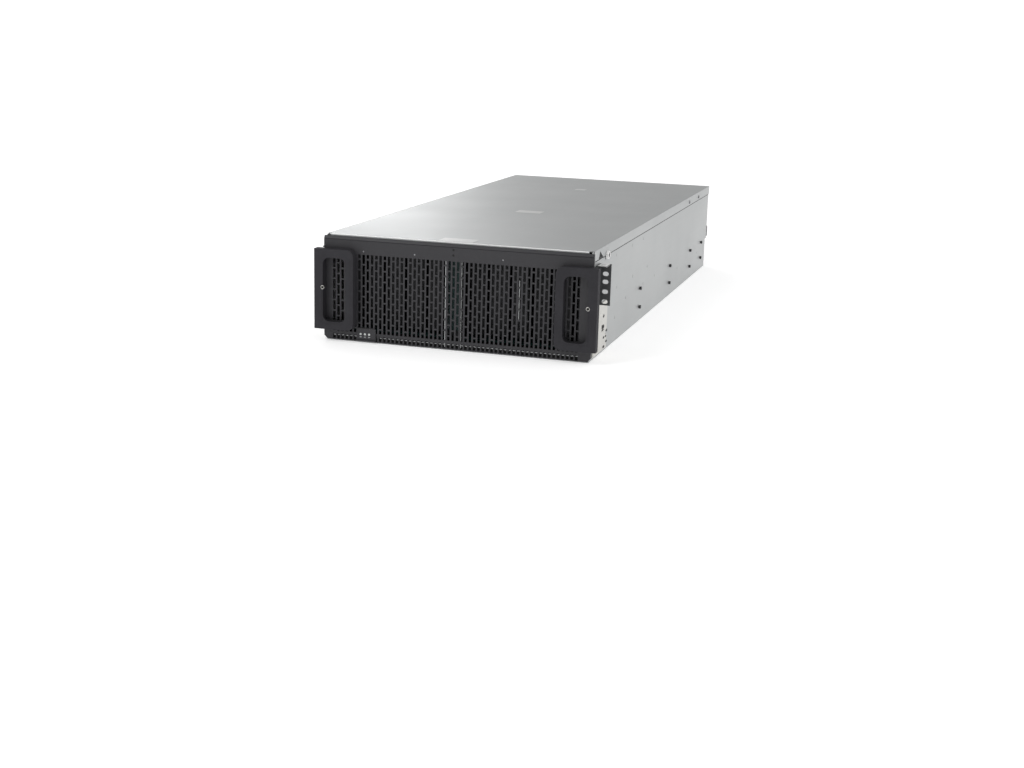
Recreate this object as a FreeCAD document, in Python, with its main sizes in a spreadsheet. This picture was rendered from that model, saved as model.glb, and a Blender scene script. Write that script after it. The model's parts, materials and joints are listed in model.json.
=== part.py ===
"""A 4U disk shelf enclosure: sheet-metal case, drives standing in rows, hot-swap modules behind.

Millimetres, +Z up, +X to the right of someone facing the front, +Y to the back.
The origin is under the middle of the shelf, on the surface that it stands on.
Formulas count y from the outer face of the front grille; FRONT shifts them to the origin.
"""
import FreeCAD, Part
import math
import os
import re
from types import SimpleNamespace

import Sketcher
from FreeCAD import Rotation, Vector

DIMENSIONS = [
    # case
    ("case_width", 447, "over the flanges of the cover"),
    ("case_height", 175, "from the floor to the top of the cover"),
    ("case_depth", 1067, "from the face of the grille to the back edge of the walls"),
    ("case_sheet", 1.2, "walls, base pan, bulkhead, beams and dividers"),
    ("seam", 0.2, "between a side wall and the cover's flange"),
    ("pan_flange", 15, "height of the base pan's upturned flanges"),
    ("wall_flange", 11, "width of a side wall's in-turned top flange"),
    ("wall_flange_front", 13, "where that flange starts"),
    ("wall_flange_end", 2, "how far it ends ahead of the wall's back edge"),
    ("tail_cut", 14, "how much shorter the walls are at the back, low down"),
    ("tail_height", 60, "height of that shorter part"),
    ("rail_hole", 3.2, "radius of the screw holes for a slide rail"),
    ("rail_low", 25.8, "lower row of those holes"),
    ("rail_high", 59.5, "upper row of those holes"),
    ("rail_first", 370, "first column of those holes"),
    ("rail_second", 647, "second column"),
    ("rail_third", 867, "third column"),
    ("rail_fourth", 998, "fourth column"),
    # cover
    ("cover_sheet", 1, "top cover"),
    ("cover_setback", 5, "front fold of the cover behind the grille's face"),
    ("cover_flange", 16.5, "depth of the cover's side flanges"),
    ("cover_fold", 3, "depth of the cover's front fold"),
    ("cover_back_fold", 8, "depth of the cover's back fold"),
    ("cover_corner", 7, "square notch in each front corner of the cover"),
    ("relief_start", 40, "where the notch in the flange starts"),
    ("relief_peak", 48, "where that notch is deepest"),
    ("relief_end", 71, "where that notch ends"),
    ("relief_height", 12.5, "height of that notch"),
    ("tab_at", 96, "middle of the rounded screw tab"),
    ("tab_radius", 8, "screw tab"),
    ("screw_radius", 1.9, "shank of a cover screw"),
    ("screw_play", 0.2, "shank to hole"),
    ("screw_head", 3.4, "radius of a cover screw's head"),
    ("screw_cap", 1.6, "thickness of that head"),
    ("screw_drop", 10, "back screws below the top of the cover"),
    ("back_screw", 134, "last screw, from the back edge"),
    ("back_screw_step", 106, "from the last screw to the one before it"),
    # grille
    ("plate_width", 452, "front grille"),
    ("plate_bottom", 2, "bottom edge of the grille"),
    ("plate_top", 172, "top edge of the grille"),
    ("plate_sheet", 1.5, "front grille"),
    ("plate_return", 4.7, "depth of the grille's folded rim"),
    ("plate_chamfer", 5, "bottom corners of the grille"),
    ("slot_width", 4.4, "ventilation slot"),
    ("slot_height", 15, "ventilation slot"),
    ("slot_pitch", 7.34, "from one column of slots to the next"),
    ("slot_rise", 17.5, "from one slot to the one above it"),
    ("slot_columns", 29, "columns that start with a whole slot; the others are one fewer"),
    ("slot_rows", 7, "whole slots in a column"),
    ("field_bottom", 16, "lower end of the lowest slots"),
    ("field_shift", 2.5, "middle of the field of slots left of the middle"),
    # handles
    ("handle_out", 15, "front of a handle ahead of the grille"),
    ("handle_reach", 237, "outer edge of a handle from the middle"),
    ("handle_width", 68, "across a handle"),
    ("handle_bottom", 20, "lower edge"),
    ("handle_top", 152, "upper edge"),
    ("handle_round", 12, "corners on the inner side"),
    ("handle_skin", 3, "front wall"),
    ("handle_rim", 4, "walls round the outline and the window"),
    ("window_outer", 15, "width of the grip bar outside the window"),
    ("window_inner", 13.5, "width of the bar inside the window"),
    ("window_sill", 13, "height of the bar below the window"),
    ("window_head", 14, "height of the bar above the window"),
    ("window_round", 11, "corners of the window"),
    # indicator panel
    ("panel_left", 166, "left edge from the middle"),
    ("panel_width", 30, "indicator panel"),
    ("panel_bottom", 3.5, "indicator panel"),
    ("panel_height", 12, "indicator panel"),
    ("panel_thick", 2, "indicator panel"),
    ("panel_lip", 1.5, "ledge along the bottom of the panel"),
    ("lens_size", 4.5, "indicator lens"),
    ("lens_pitch", 8.5, "from one lens to the next"),
    ("lens_depth", 1.5, "indicator lens"),
    # rack ears
    ("ear_reach", 241.3, "half of the 482.6 mm rack front"),
    ("ear_sheet", 2, "rack ear and side bracket"),
    ("ear_face", 53, "front face of the ear's flange"),
    ("ear_front", 25, "front edge of the ear's leg"),
    ("ear_bottom", 84, "lower edge of the ear"),
    ("ear_top", 150.5, "upper edge of the ear"),
    ("ear_column", 232.55, "rack slots from the middle"),
    ("ear_low", 90, "lowest rack slot"),
    ("ear_step", 15.875, "between the lower three slots"),
    ("ear_last_step", 12.7, "from the third slot to the fourth"),
    ("ear_hole", 3.5, "half the height of a rack slot"),
    ("ear_slide", 2.5, "straight part of a rack slot"),
    ("bracket_front", 22, "front edge of the side bracket"),
    ("bracket_back", 112, "back edge of the side bracket"),
    ("bracket_bottom", 4, "lower edge of the side bracket"),
    ("bracket_hole", 3.2, "radius of the round hole in the bracket"),
    ("bracket_hole_at", 88, "that hole from the front"),
    ("bracket_hole_level", 60, "that hole from the floor"),
    ("hook_front", 76, "large hook opening of the bracket"),
    ("hook_long", 16, "large hook opening"),
    ("hook_low", 36, "large hook opening"),
    ("hook_high", 10, "large hook opening"),
    ("hook_notch", 8, "depth of the notch in the bracket's back edge"),
    ("hook_notch_low", 27, "notch in the bracket's back edge"),
    ("hook_notch_high", 6, "notch in the bracket's back edge"),
    # stiffeners behind the grille
    ("channel_left", 19, "left side of the middle channel, left of the middle"),
    ("channel_width", 24.2, "middle channel"),
    ("channel_depth", 19.7, "middle channel"),
    ("channel_low", 5, "lower end of the channel"),
    ("channel_high", 169, "upper end of the channel"),
    ("board_thick", 1.6, "small circuit boards"),
    ("board_play", 1, "between the status board and the channel's legs"),
    ("status_low", 30, "lower end of the status board"),
    ("status_high", 160, "upper end of the status board"),
    ("post_at", 104, "angle post right of the middle"),
    ("post_low", 58, "lower end of the post"),
    ("post_high", 122, "upper end of the post"),
    ("post_leg", 14, "legs of the post"),
    # drives
    ("drive_thick", 26.1, "3.5 inch drive"),
    ("drive_wide", 101.6, "3.5 inch drive"),
    ("drive_long", 147, "3.5 inch drive, standing on its connector end"),
    ("drive_pitch", 36.2, "from one drive to the next in a row"),
    ("drives_in_row", 12, "drives side by side"),
    ("row_first", 66, "front of the first row"),
    ("row_pitch", 140, "from one row to the next"),
    ("row_plenum", 40, "extra gap between the front rows and the back rows"),
    ("latch_height", 5, "drive latch above its drive"),
    ("latch_inset", 4, "drive latch from the edges of its drive"),
    ("socket_long", 44, "drive connector"),
    ("socket_wide", 7, "drive connector"),
    ("socket_high", 6, "drive connector"),
    ("backplane_low", 7, "underside of the backplane"),
    ("backplane_thick", 2, "backplane"),
    ("backplane_width", 428, "backplane"),
    ("backplane_front", 58, "front edge of the backplane"),
    ("standoff_radius", 3, "standoff under the backplane"),
    ("beam_gap", 1.2, "between a drive and the beam beside it"),
    ("beam_top", 150, "top of the beams across the case"),
    # back of the shelf
    ("bulkhead_in", 265, "front of the bulkhead from the back edge of the walls"),
    ("midplane_thick", 2.4, "midplane board on the bulkhead"),
    ("midplane_high", 58, "top of the midplane board"),
    ("fan_window", 92, "openings in the bulkhead"),
    ("plug_wide", 44, "module connector"),
    ("plug_high", 12, "module connector"),
    ("plug_long", 12, "module connector, from the midplane"),
    ("plug_level", 22, "lower edge of the module connectors"),
    ("plug_window", 2, "bulkhead opening round a module connector"),
    ("shelf_level", 60, "underside of the shelf between the two rows of modules"),
    ("bay_play", 0.5, "between a module and the dividers beside it"),
    ("bay_rest", 0.3, "between a module and what it slides on"),
    ("bay_head", 0.5, "between a low module and the shelf above it"),
    ("bay_setback", 4, "back edge of the shelf and dividers ahead of the base pan's"),
    # power supplies and controllers
    ("module_in", 18, "back face of the power supplies and controllers ahead of the walls' back edge"),
    ("pull_out", 22, "how far a pull stands out of a power supply"),
    ("pull_bar", 4, "thickness of the pull"),
    ("pull_height", 36, "pull"),
    ("pull_at", 16, "pull from the left edge of its module"),
    ("pull_width", 14, "pull"),
    ("inlet_wide", 30, "power inlet"),
    ("inlet_high", 24, "power inlet"),
    ("inlet_deep", 20, "power inlet"),
    ("inlet_wall", 3, "power inlet round its socket"),
    ("inlet_floor", 4, "power inlet behind its socket"),
    ("blade_wide", 2, "contact of the inlet"),
    ("blade_high", 4, "contact of the inlet"),
    ("blade_long", 9, "contact of the inlet"),
    ("blade_pitch", 7, "between the outer contacts and the middle one"),
    ("release_gap", 8, "between the pull and the release tab"),
    ("release_wide", 7, "release tab of a power supply"),
    ("release_high", 12, "release tab"),
    ("release_out", 12, "release tab"),
    ("port_wide", 30, "port of a controller"),
    ("port_high", 9, "port of a controller"),
    ("port_deep", 14, "port of a controller"),
    ("port_level", 34, "lower edge of the ports"),
    ("port_pitch", 43.4, "from one port to the other"),
    ("lever_wide", 90, "controller lever"),
    ("lever_high", 18, "controller lever"),
    ("lever_thick", 3, "controller lever"),
    ("lever_level", 8, "axis of the controller lever"),
    ("lever_gap", 0.9, "between the lever and the controller's face"),
    ("lever_play", 0.6, "between the lever and the lugs beside it"),
    ("lug_thick", 2.4, "lug that carries the lever's pivot"),
    ("lug_size", 6, "height of that lug"),
    ("pivot_play", 0.3, "round the lever's pivot in its lug"),
    # fans
    ("fan_in", 7, "back face of the fan modules ahead of the walls' back edge"),
    ("fan_deep", 60, "fan module"),
    ("fan_high", 95, "fan module; its top stays below the cover's side flanges"),
    ("fan_bore", 46, "radius of the air duct"),
    ("fan_gap", 2, "between the blade tips and the duct"),
    ("fan_hub", 19, "radius of the rotor's hub"),
    ("fan_hub_long", 26, "rotor hub"),
    ("fan_blades", 7, "rotor blades"),
    ("fan_blade_thick", 2, "rotor blade"),
    ("fan_blade_inset", 2, "blade from each end of the hub"),
    ("fan_blade_root", 2, "how deep a blade is set in the hub"),
    ("fan_blade_turn", 38, "degrees a blade leans"),
    ("fan_mount", 15, "radius of the motor mount"),
    ("fan_mount_long", 8, "motor mount"),
    ("fan_running", 0.6, "between the rotor and its motor mount"),
    ("spoke_wide", 4, "spokes that carry the motor"),
    ("fan_pull_out", 14, "how far a fan's pull stands out"),
    ("fan_pull_wide", 8, "fan pull"),
    ("fan_pull_high", 24, "fan pull"),
]

D = SimpleNamespace(**{name: value for name, value, _ in DIMENSIONS})
WORDS = re.compile(r"\b(" + "|".join(name for name, _, _ in DIMENSIONS) + r")\b")

DOC = FreeCAD.newDocument("disk_shelf_enclosure")
SHEET = DOC.addObject("Spreadsheet::Sheet", "dims")
PIECES = []

# Formulas that several pieces share.
BULKHEAD = "(case_depth - bulkhead_in)"
MODULE_BACK = "(case_depth - module_in)"
FAN_BACK = "(case_depth - fan_in)"
FRONT = f"(handle_out - fan_pull_out - {FAN_BACK}) / 2"
WALL_OUT = "(case_width / 2 - cover_sheet - seam)"
WALL_IN = f"({WALL_OUT} - case_sheet)"
WALL_TOP = "(case_height - cover_sheet)"
BACKPLANE_TOP = "(backplane_low + backplane_thick)"
DRIVE_BOTTOM = f"({BACKPLANE_TOP} + socket_high)"
DRIVE_TOP = f"({DRIVE_BOTTOM} + drive_long)"
ROW_LEFT = "(drive_pitch * (drives_in_row - 1) / 2 + drive_thick / 2)"
BULKHEAD_BACK = f"({BULKHEAD} + case_sheet)"
BAY_WIDTH = f"(({WALL_IN} * 2 - 3 * case_sheet) / 4)"
MODULE_WIDTH = f"({BAY_WIDTH} - 2 * bay_play)"
MODULE_FRONT = f"({BULKHEAD} + plug_long)"
MODULE_LONG = f"({MODULE_BACK} - {MODULE_FRONT})"
MODULE_BOTTOM = "(case_sheet + bay_rest)"
MODULE_HIGH = f"(shelf_level - bay_head - {MODULE_BOTTOM})"
FAN_BOTTOM = "(shelf_level + case_sheet + bay_rest)"
FRONT_ROWS = 3
BACK_ROWS = 2
# Small round pieces that repeat have few sides.
SCREW_SIDES = 10
HUB_SIDES = 12
STANDOFF_SIDES = 6
TAB_SIDES = 20
# How far a cutting block passes the face that it opens.
OVER = 1


# ---------------------------------------------------------------- small tools
def fill_sheet():
    """Writes the driving dimensions into the spreadsheet."""
    for row, (name, value, meaning) in enumerate(DIMENSIONS, start=1):
        SHEET.set(f"A{row}", name)
        SHEET.set(f"B{row}", str(value))
        SHEET.set(f"C{row}", meaning)
        SHEET.setAlias(f"B{row}", name)
    DOC.recompute()


def bind(thing, prop, formula):
    """Ties a property to a formula in the sheet's names."""
    thing.setExpression(prop, WORDS.sub(r"dims.\1", str(formula)))


def place(thing, x=0, y=0, z=0):
    for axis, formula in zip("xyz", (x, y, z)):
        bind(thing, f".Placement.Base.{axis}", formula)


def piece(thing, label, x=0, y=0, z=0):
    """Names a finished piece and puts it in its place in the shelf."""
    thing.Label = label
    place(thing, x, f"{FRONT} + {y}", z)
    PIECES.append(thing)
    return thing


def box(x0, x1, y0, y1, z0, z1):
    """A block between six planes."""
    block = DOC.addObject("Part::Box", "block")
    bind(block, "Length", f"({x1}) - ({x0})")
    bind(block, "Width", f"({y1}) - ({y0})")
    bind(block, "Height", f"({z1}) - ({z0})")
    place(block, x0, y0, z0)
    return block


def block_piece(label, x0, x1, y0, y1, z0, z1, at=(0, 0, 0)):
    """A finished piece that is one plain block."""
    x, y, z = at
    piece(box(x0, x1, y0, y1, z0, z1), label, f"{x} + {x0}", f"{y} + {y0}", f"{z} + {z0}")


def side_box(side, inner, outer, y0, y1, z0, z1):
    """A block on the right (side 1) or mirrored on the left (side -1)."""
    if side > 0:
        return box(inner, outer, y0, y1, z0, z1)
    return box(f"-({outer})", f"-({inner})", y0, y1, z0, z1)


TURNS = {"x": Rotation(Vector(0, 1, 0), 90), "y": Rotation(Vector(1, 0, 0), -90), "z": Rotation()}


def rod(axis, radius, length, x, y, z, sides=0):
    """A cylinder, or a prism of that many sides, from a point along +X, +Y or +Z."""
    shape = DOC.addObject("Part::Prism" if sides else "Part::Cylinder", "rod")
    shape.Placement = FreeCAD.Placement(Vector(), TURNS[axis])
    if sides:
        shape.Polygon = sides
    bind(shape, "Circumradius" if sides else "Radius", radius)
    bind(shape, "Height", length)
    place(shape, x, y, z)
    return shape


def group(parts):
    """Separate solids kept together."""
    compound = DOC.addObject("Part::Compound", "group")
    compound.Links = parts
    return compound


def fuse(parts):
    joined = DOC.addObject("Part::MultiFuse", "fuse")
    joined.Shapes = parts
    joined.Refine = True
    return joined


def cut(base, tools):
    """The base less all of the tools."""
    result = DOC.addObject("Part::Cut", "cut")
    result.Base = base
    result.Tool = tools[0] if len(tools) == 1 else fuse(tools)
    return result


def new_body():
    body = DOC.addObject("PartDesign::Body", "body")
    body.AllowCompound = True
    return body


def new_sketch(body, plane):
    """A sketch on one of the body's own origin planes: XY, XZ or YZ."""
    sketch = body.newObject("Sketcher::SketchObject", "sketch")
    role = f"{plane}_Plane"
    face = next(item for item in body.Origin.OriginFeatures if item.Role == role)
    sketch.AttachmentSupport = [(face, "")]
    sketch.MapMode = "FlatFace"
    return sketch


def outline(sketch, corners):
    """A closed outline, each corner held from the sketch's origin by two formulas."""
    first = sketch.GeometryCount
    count = len(corners)
    for number in range(count):
        angle, after = (2 * math.pi * step / count for step in (number, number + 1))
        start = Vector(math.cos(angle), math.sin(angle), 0)
        end = Vector(math.cos(after), math.sin(after), 0)
        sketch.addGeometry(Part.LineSegment(start, end), False)
    for number in range(count):
        following = first + (number + 1) % count
        sketch.addConstraint(Sketcher.Constraint("Coincident", first + number, 2, following, 1))
    for number, corner in enumerate(corners):
        for kind, formula in zip(("DistanceX", "DistanceY"), corner):
            rule = Sketcher.Constraint(kind, -1, 1, first + number, 1, 1.0)
            bind(sketch, f"Constraints[{sketch.addConstraint(rule)}]", formula)


def rectangle(sketch, x0, x1, y0, y1):
    outline(sketch, [(x0, y0), (x1, y0), (x1, y1), (x0, y1)])


def pad(body, sketch, length, backwards=False):
    feature = body.newObject("PartDesign::Pad", "pad")
    feature.Profile = sketch
    feature.Reversed = backwards
    bind(feature, "Length", length)
    DOC.recompute()
    return feature


def pocket(body, sketch, depth=None, backwards=False):
    """A pocket of the given depth, or right through both ways; it has to remove something."""
    before = body.Shape.Volume
    feature = body.newObject("PartDesign::Pocket", "pocket")
    feature.Profile = sketch
    feature.Reversed = backwards
    if depth is None:
        feature.Type = "ThroughAll"
        feature.Midplane = True
    else:
        bind(feature, "Length", depth)
    DOC.recompute()
    if body.Shape.Volume > before - 0.01:
        raise RuntimeError(f"a pocket of {body.Name} cuts nothing")
    return feature


def repeat(body, feature, sketch, step, count, step2="1", count2="1"):
    """Repeats a feature along the sketch's two axes."""
    pattern = body.newObject("PartDesign::LinearPattern", "pattern")
    pattern.Originals = [feature]
    pattern.Direction = (sketch, ["H_Axis"])
    pattern.Direction2 = (sketch, ["V_Axis"])
    pattern.Mode = "Spacing"
    pattern.Mode2 = "Spacing"
    bind(pattern, "Offset", step)
    bind(pattern, "Occurrences", count)
    bind(pattern, "Offset2", step2)
    bind(pattern, "Occurrences2", count2)
    body.Tip = pattern
    DOC.recompute()
    # A spacing of -1 follows Offset2; the first one starts at 0 and has to be set.
    pattern.Spacings2 = [-1.0] * (pattern.Occurrences2 - 1)
    DOC.recompute()
    return pattern


def round_edges(body, feature, radius, chosen):
    """Rounds the edges along Y whose middle passes the test."""
    names = []
    for number, edge in enumerate(feature.Shape.Edges, start=1):
        along = edge.BoundBox
        if along.YLength > 1 and along.XLength < 0.01 and along.ZLength < 0.01 and chosen(edge.CenterOfMass):
            names.append(f"Edge{number}")
    fillet = body.newObject("PartDesign::Fillet", "round")
    fillet.Base = (feature, names)
    bind(fillet, "Radius", radius)
    DOC.recompute()
    return fillet


# ---------------------------------------------------------------- case
def build_base_pan():
    back = "case_depth - tail_cut"
    parts = [box(f"-{WALL_IN}", WALL_IN, "plate_sheet", back, 0, "case_sheet")]
    for side in (1, -1):
        parts.append(side_box(side, f"{WALL_IN} - case_sheet", WALL_IN, "plate_return", BULKHEAD,
                              0, "pan_flange"))
    piece(fuse(parts), "base_pan")


def build_side_wall(side, label):
    """A wall with an in-turned top flange, a shorter tail low down and the rail holes."""
    inner, outer = f"{WALL_IN} - {OVER}", f"{WALL_OUT} + {OVER}"
    sheet = side_box(side, WALL_IN, WALL_OUT, "plate_sheet", "case_depth", 0, WALL_TOP)
    flange = side_box(side, f"{WALL_IN} - wall_flange", WALL_IN, "wall_flange_front",
                      "case_depth - wall_flange_end", f"{WALL_TOP} - case_sheet", WALL_TOP)
    tail = side_box(side, inner, outer, "case_depth - tail_cut", f"case_depth + {OVER}", f"-{OVER}",
                    "tail_height")
    low_corner = side_box(side, inner, outer, 0, "plate_return", f"-{OVER}",
                          "plate_bottom + plate_chamfer + plate_sheet")
    high_corner = side_box(side, inner, outer, 0, "plate_return", "plate_top - plate_sheet",
                           f"{WALL_TOP} + {OVER}")
    tools = [tail, low_corner, high_corner]
    start = inner if side > 0 else f"-({outer})"
    for column in ("rail_first", "rail_second", "rail_third", "rail_fourth"):
        for level in ("rail_low", "rail_high"):
            tools.append(rod("x", "rail_hole", f"case_sheet + {2 * OVER}", start, column, level))
    piece(cut(fuse([sheet, flange]), tools), label)


# ---------------------------------------------------------------- cover
def flange_outline():
    """The side flange seen from the side: square lobe, relief notch and a long straight run."""
    low = "case_height - cover_flange"
    front = "cover_setback + cover_corner"
    return [(front, low), ("relief_start", low), ("relief_peak", f"{low} + relief_height"),
            ("relief_end", low), ("case_depth", low), ("case_depth", WALL_TOP), (front, WALL_TOP)]


def screw_places():
    """Each cover screw of a side: its place along the shelf and its height."""
    high = "case_height - screw_drop"
    return [("tab_at", "case_height - cover_flange"), ("case_depth - back_screw - back_screw_step", high),
            ("case_depth - back_screw", high)]


def build_cover():
    half = "case_width / 2"
    parts = [box(f"-{half}", half, "cover_setback", "case_depth", WALL_TOP, "case_height"),
             box(f"-({half} - cover_corner)", f"{half} - cover_corner", "cover_setback",
                 "cover_setback + cover_sheet", "case_height - cover_fold", WALL_TOP),
             box(f"-{WALL_IN}", WALL_IN, "case_depth - cover_sheet", "case_depth",
                 "case_height - cover_back_fold", WALL_TOP)]
    tools = []
    for side in (1, -1):
        start = f"{half} - cover_sheet" if side > 0 else f"-{half}"
        flange = new_body()
        sketch = new_sketch(flange, "YZ")
        outline(sketch, flange_outline())
        pad(flange, sketch, "cover_sheet")
        place(flange, start)
        parts.append(flange)
        parts.append(rod("x", "tab_radius", "cover_sheet", start, "tab_at", "case_height - cover_flange",
                         TAB_SIDES))
        tools.append(side_box(side, f"{half} - cover_corner", f"{half} + {OVER}", f"cover_setback - {OVER}",
                              "cover_setback + cover_corner", f"{WALL_TOP} - {OVER}",
                              f"case_height + {OVER}"))
        for along, level in screw_places():
            tools.append(rod("x", "screw_radius + screw_play", f"cover_sheet + {2 * OVER}",
                             f"{start} - {OVER}", along, level, SCREW_SIDES))
    piece(cut(fuse(parts), tools), "top_cover")


def build_cover_screws():
    screws = []
    half = "case_width / 2"
    for side in (1, -1):
        shank = f"{half} - cover_sheet" if side > 0 else f"-{half}"
        head = half if side > 0 else f"-{half} - screw_cap"
        for along, level in screw_places():
            screws.append(fuse([rod("x", "screw_radius", "cover_sheet", shank, along, level, SCREW_SIDES),
                                rod("x", "screw_head", "screw_cap", head, along, level, SCREW_SIDES)]))
    piece(group(screws), "cover_screws")


# ---------------------------------------------------------------- front
def plate_outline(inset):
    """The grille's outline with its clipped bottom corners, moved inwards by an inset."""
    side = f"plate_width / 2 - {inset}"
    low = f"plate_bottom + {inset}"
    high = f"plate_top - {inset}"
    return [(f"-({side} - plate_chamfer)", low), (f"{side} - plate_chamfer", low),
            (side, f"{low} + plate_chamfer"), (side, high), (f"-({side})", high),
            (f"-({side})", f"{low} + plate_chamfer")]


def cut_slots(grille, left, low, height, columns, rise="1", rows="1"):
    """A field of equal slots, two column pitches apart."""
    sketch = new_sketch(grille, "XZ")
    rectangle(sketch, left, f"{left} + slot_width", low, f"{low} + {height}")
    first = pocket(grille, sketch)
    repeat(grille, first, sketch, "2 * slot_pitch", columns, rise, rows)


def build_grille():
    """Slots in brickwork: each column ends with half a slot, at its top or at its bottom by turns."""
    grille = new_body()
    sketch = new_sketch(grille, "XZ")
    outline(sketch, plate_outline("0"))
    pad(grille, sketch, "plate_sheet", backwards=True)
    rim = new_sketch(grille, "XZ")
    outline(rim, plate_outline("0"))
    outline(rim, plate_outline("plate_sheet"))
    pad(grille, rim, "plate_return", backwards=True)
    left = "-(slot_pitch * (slot_columns - 1) + slot_width / 2 + field_shift)"
    shifted = f"{left} + slot_pitch"
    half_slot = "(slot_height / 2 - (slot_rise - slot_height) / 2)"
    field_top = f"(field_bottom + slot_rise * slot_rows + {half_slot})"
    cut_slots(grille, left, "field_bottom", "slot_height", "slot_columns", "slot_rise", "slot_rows")
    cut_slots(grille, left, f"{field_top} - {half_slot}", half_slot, "slot_columns")
    cut_slots(grille, shifted, f"{field_top} - slot_height - slot_rise * (slot_rows - 1)", "slot_height",
              "slot_columns - 1", "slot_rise", "slot_rows")
    cut_slots(grille, shifted, "field_bottom", half_slot, "slot_columns - 1")
    piece(grille, "front_grille")


def handle_span(side, inner, outer):
    """Two x places, measured from the outer edge of a handle towards the middle."""
    near = f"{side} * (handle_reach - {inner})"
    far = f"{side} * (handle_reach - ({outer}))"
    return (far, near) if side > 0 else (near, far)


def is_inner_corner(middle):
    """An edge of the handle's inner side, where the outline is rounded."""
    return abs(middle.x) < D.handle_reach - D.handle_width / 2


def is_window_corner(middle):
    """An edge of the handle's window."""
    across = D.handle_reach - abs(middle.x)
    beside = D.window_outer / 2 < across < D.handle_width - D.window_inner / 2
    return beside and D.handle_bottom + D.window_sill / 2 < middle.z < D.handle_top - D.window_head / 2


def build_handle(side, label):
    """A hollow moulded frame: grip bar outside, window for the fingers, open at the back."""
    handle = new_body()
    sketch = new_sketch(handle, "XZ")
    rectangle(sketch, *handle_span(side, "0", "handle_width"), "handle_bottom", "handle_top")
    slab = pad(handle, sketch, "handle_out")
    round_edges(handle, slab, "handle_round", is_inner_corner)

    edge = new_sketch(handle, "XZ")
    rectangle(edge, *handle_span(side, "window_outer", "handle_width - window_inner"),
              "handle_bottom + window_sill", "handle_top - window_head")
    opening = pocket(handle, edge)
    round_edges(handle, opening, "window_round", is_window_corner)

    hollow = new_sketch(handle, "XZ")
    rectangle(hollow, *handle_span(side, "handle_rim", "handle_width - handle_rim"),
              "handle_bottom + handle_rim", "handle_top - handle_rim")
    rectangle(hollow, *handle_span(side, "window_outer - handle_rim",
                                   "handle_width - window_inner + handle_rim"),
              "handle_bottom + window_sill - handle_rim", "handle_top - window_head + handle_rim")
    pocket(handle, hollow, "handle_out - handle_skin", backwards=True)
    piece(handle, label)


def lens_left(number):
    return f"-panel_left + panel_width / 2 + ({number} - 1) * lens_pitch - lens_size / 2"


def build_indicator_panel():
    level = "panel_bottom + panel_height / 2 - lens_size / 2"
    left, right = "-panel_left", "-panel_left + panel_width"
    slab = box(left, right, "-panel_thick", 0, "panel_bottom", "panel_bottom + panel_height")
    lip = box(left, right, "-panel_thick - panel_lip", 0, "panel_bottom", "panel_bottom + panel_lip")
    seats, lenses = [], []
    for number in range(3):
        x0 = lens_left(number)
        x1 = f"{x0} + lens_size"
        seats.append(box(x0, x1, f"-panel_thick - {OVER}", "-panel_thick + lens_depth", level,
                         f"{level} + lens_size"))
        lenses.append(box(x0, x1, "-panel_thick", "-panel_thick + lens_depth", level, f"{level} + lens_size"))
    piece(cut(fuse([slab, lip]), seats), "indicator_panel")
    piece(group(lenses), "indicator_lenses")


def build_rack_ear(side, label):
    """Leg on the wall, flange to the rack with four slots, and a web across the top."""
    outer = f"{WALL_OUT} + ear_sheet"
    back = "ear_face + ear_sheet"
    leg = side_box(side, WALL_OUT, outer, "ear_front", back, "ear_bottom", "ear_top")
    face = side_box(side, WALL_OUT, "ear_reach", "ear_face", back, "ear_bottom", "ear_top")
    web = side_box(side, WALL_OUT, "ear_reach - ear_sheet", "ear_front", back, "ear_top - ear_sheet",
                   "ear_top")
    tools = []
    for number in range(4):
        level = f"ear_low + {min(number, 2)} * ear_step" + (" + ear_last_step" if number == 3 else "")
        x0 = f"{side} * ear_column - ear_slide / 2"
        x1 = f"{side} * ear_column + ear_slide / 2"
        for end in (x0, x1):
            tools.append(rod("y", "ear_hole", f"ear_sheet + {2 * OVER}", end, f"ear_face - {OVER}", level))
        tools.append(box(x0, x1, f"ear_face - {OVER}", f"{back} + {OVER}", f"{level} - ear_hole",
                         f"{level} + ear_hole"))
    piece(cut(fuse([leg, face, web]), tools), label)


def build_side_bracket(side, label):
    """Stiffening plate under the ear, with the openings that a slide rail hooks into."""
    outer = f"{WALL_OUT} + ear_sheet"
    plate = side_box(side, WALL_OUT, outer, "bracket_front", "bracket_back", "bracket_bottom", "ear_bottom")
    near, far = f"{WALL_OUT} - {OVER}", f"{outer} + {OVER}"
    hole = rod("x", "bracket_hole", f"ear_sheet + {2 * OVER}", near if side > 0 else f"-({far})",
               "bracket_hole_at", "bracket_hole_level", SCREW_SIDES)
    hook = side_box(side, near, far, "hook_front", "hook_front + hook_long", "hook_low",
                    "hook_low + hook_high")
    notch = side_box(side, near, far, "bracket_back - hook_notch", f"bracket_back + {OVER}", "hook_notch_low",
                     "hook_notch_low + hook_notch_high")
    piece(cut(plate, [hole, hook, notch]), label)


def build_front_stiffeners():
    left = "-channel_left"
    right = "channel_width - channel_left"
    back = "plate_sheet + channel_depth"
    legs = [box(left, f"{left} + case_sheet", "plate_sheet", back, "channel_low", "channel_high"),
            box(f"{right} - case_sheet", right, "plate_sheet", back, "channel_low", "channel_high")]
    web = box(left, right, f"{back} - case_sheet", back, "channel_low", "channel_high")
    piece(fuse(legs + [web]), "front_channel")
    face = f"{back} - case_sheet"
    block_piece("status_board", f"{left} + case_sheet + board_play",
                f"{right} - case_sheet - board_play",
                f"{face} - board_thick", face, "status_low", "status_high")
    post_back = "plate_sheet + post_leg"
    leg = box("post_at", "post_at + case_sheet", "plate_sheet", post_back, "post_low", "post_high")
    foot = box("post_at", "post_at + post_leg", f"{post_back} - case_sheet", post_back, "post_low",
               "post_high")
    piece(fuse([leg, foot]), "front_post")


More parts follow.
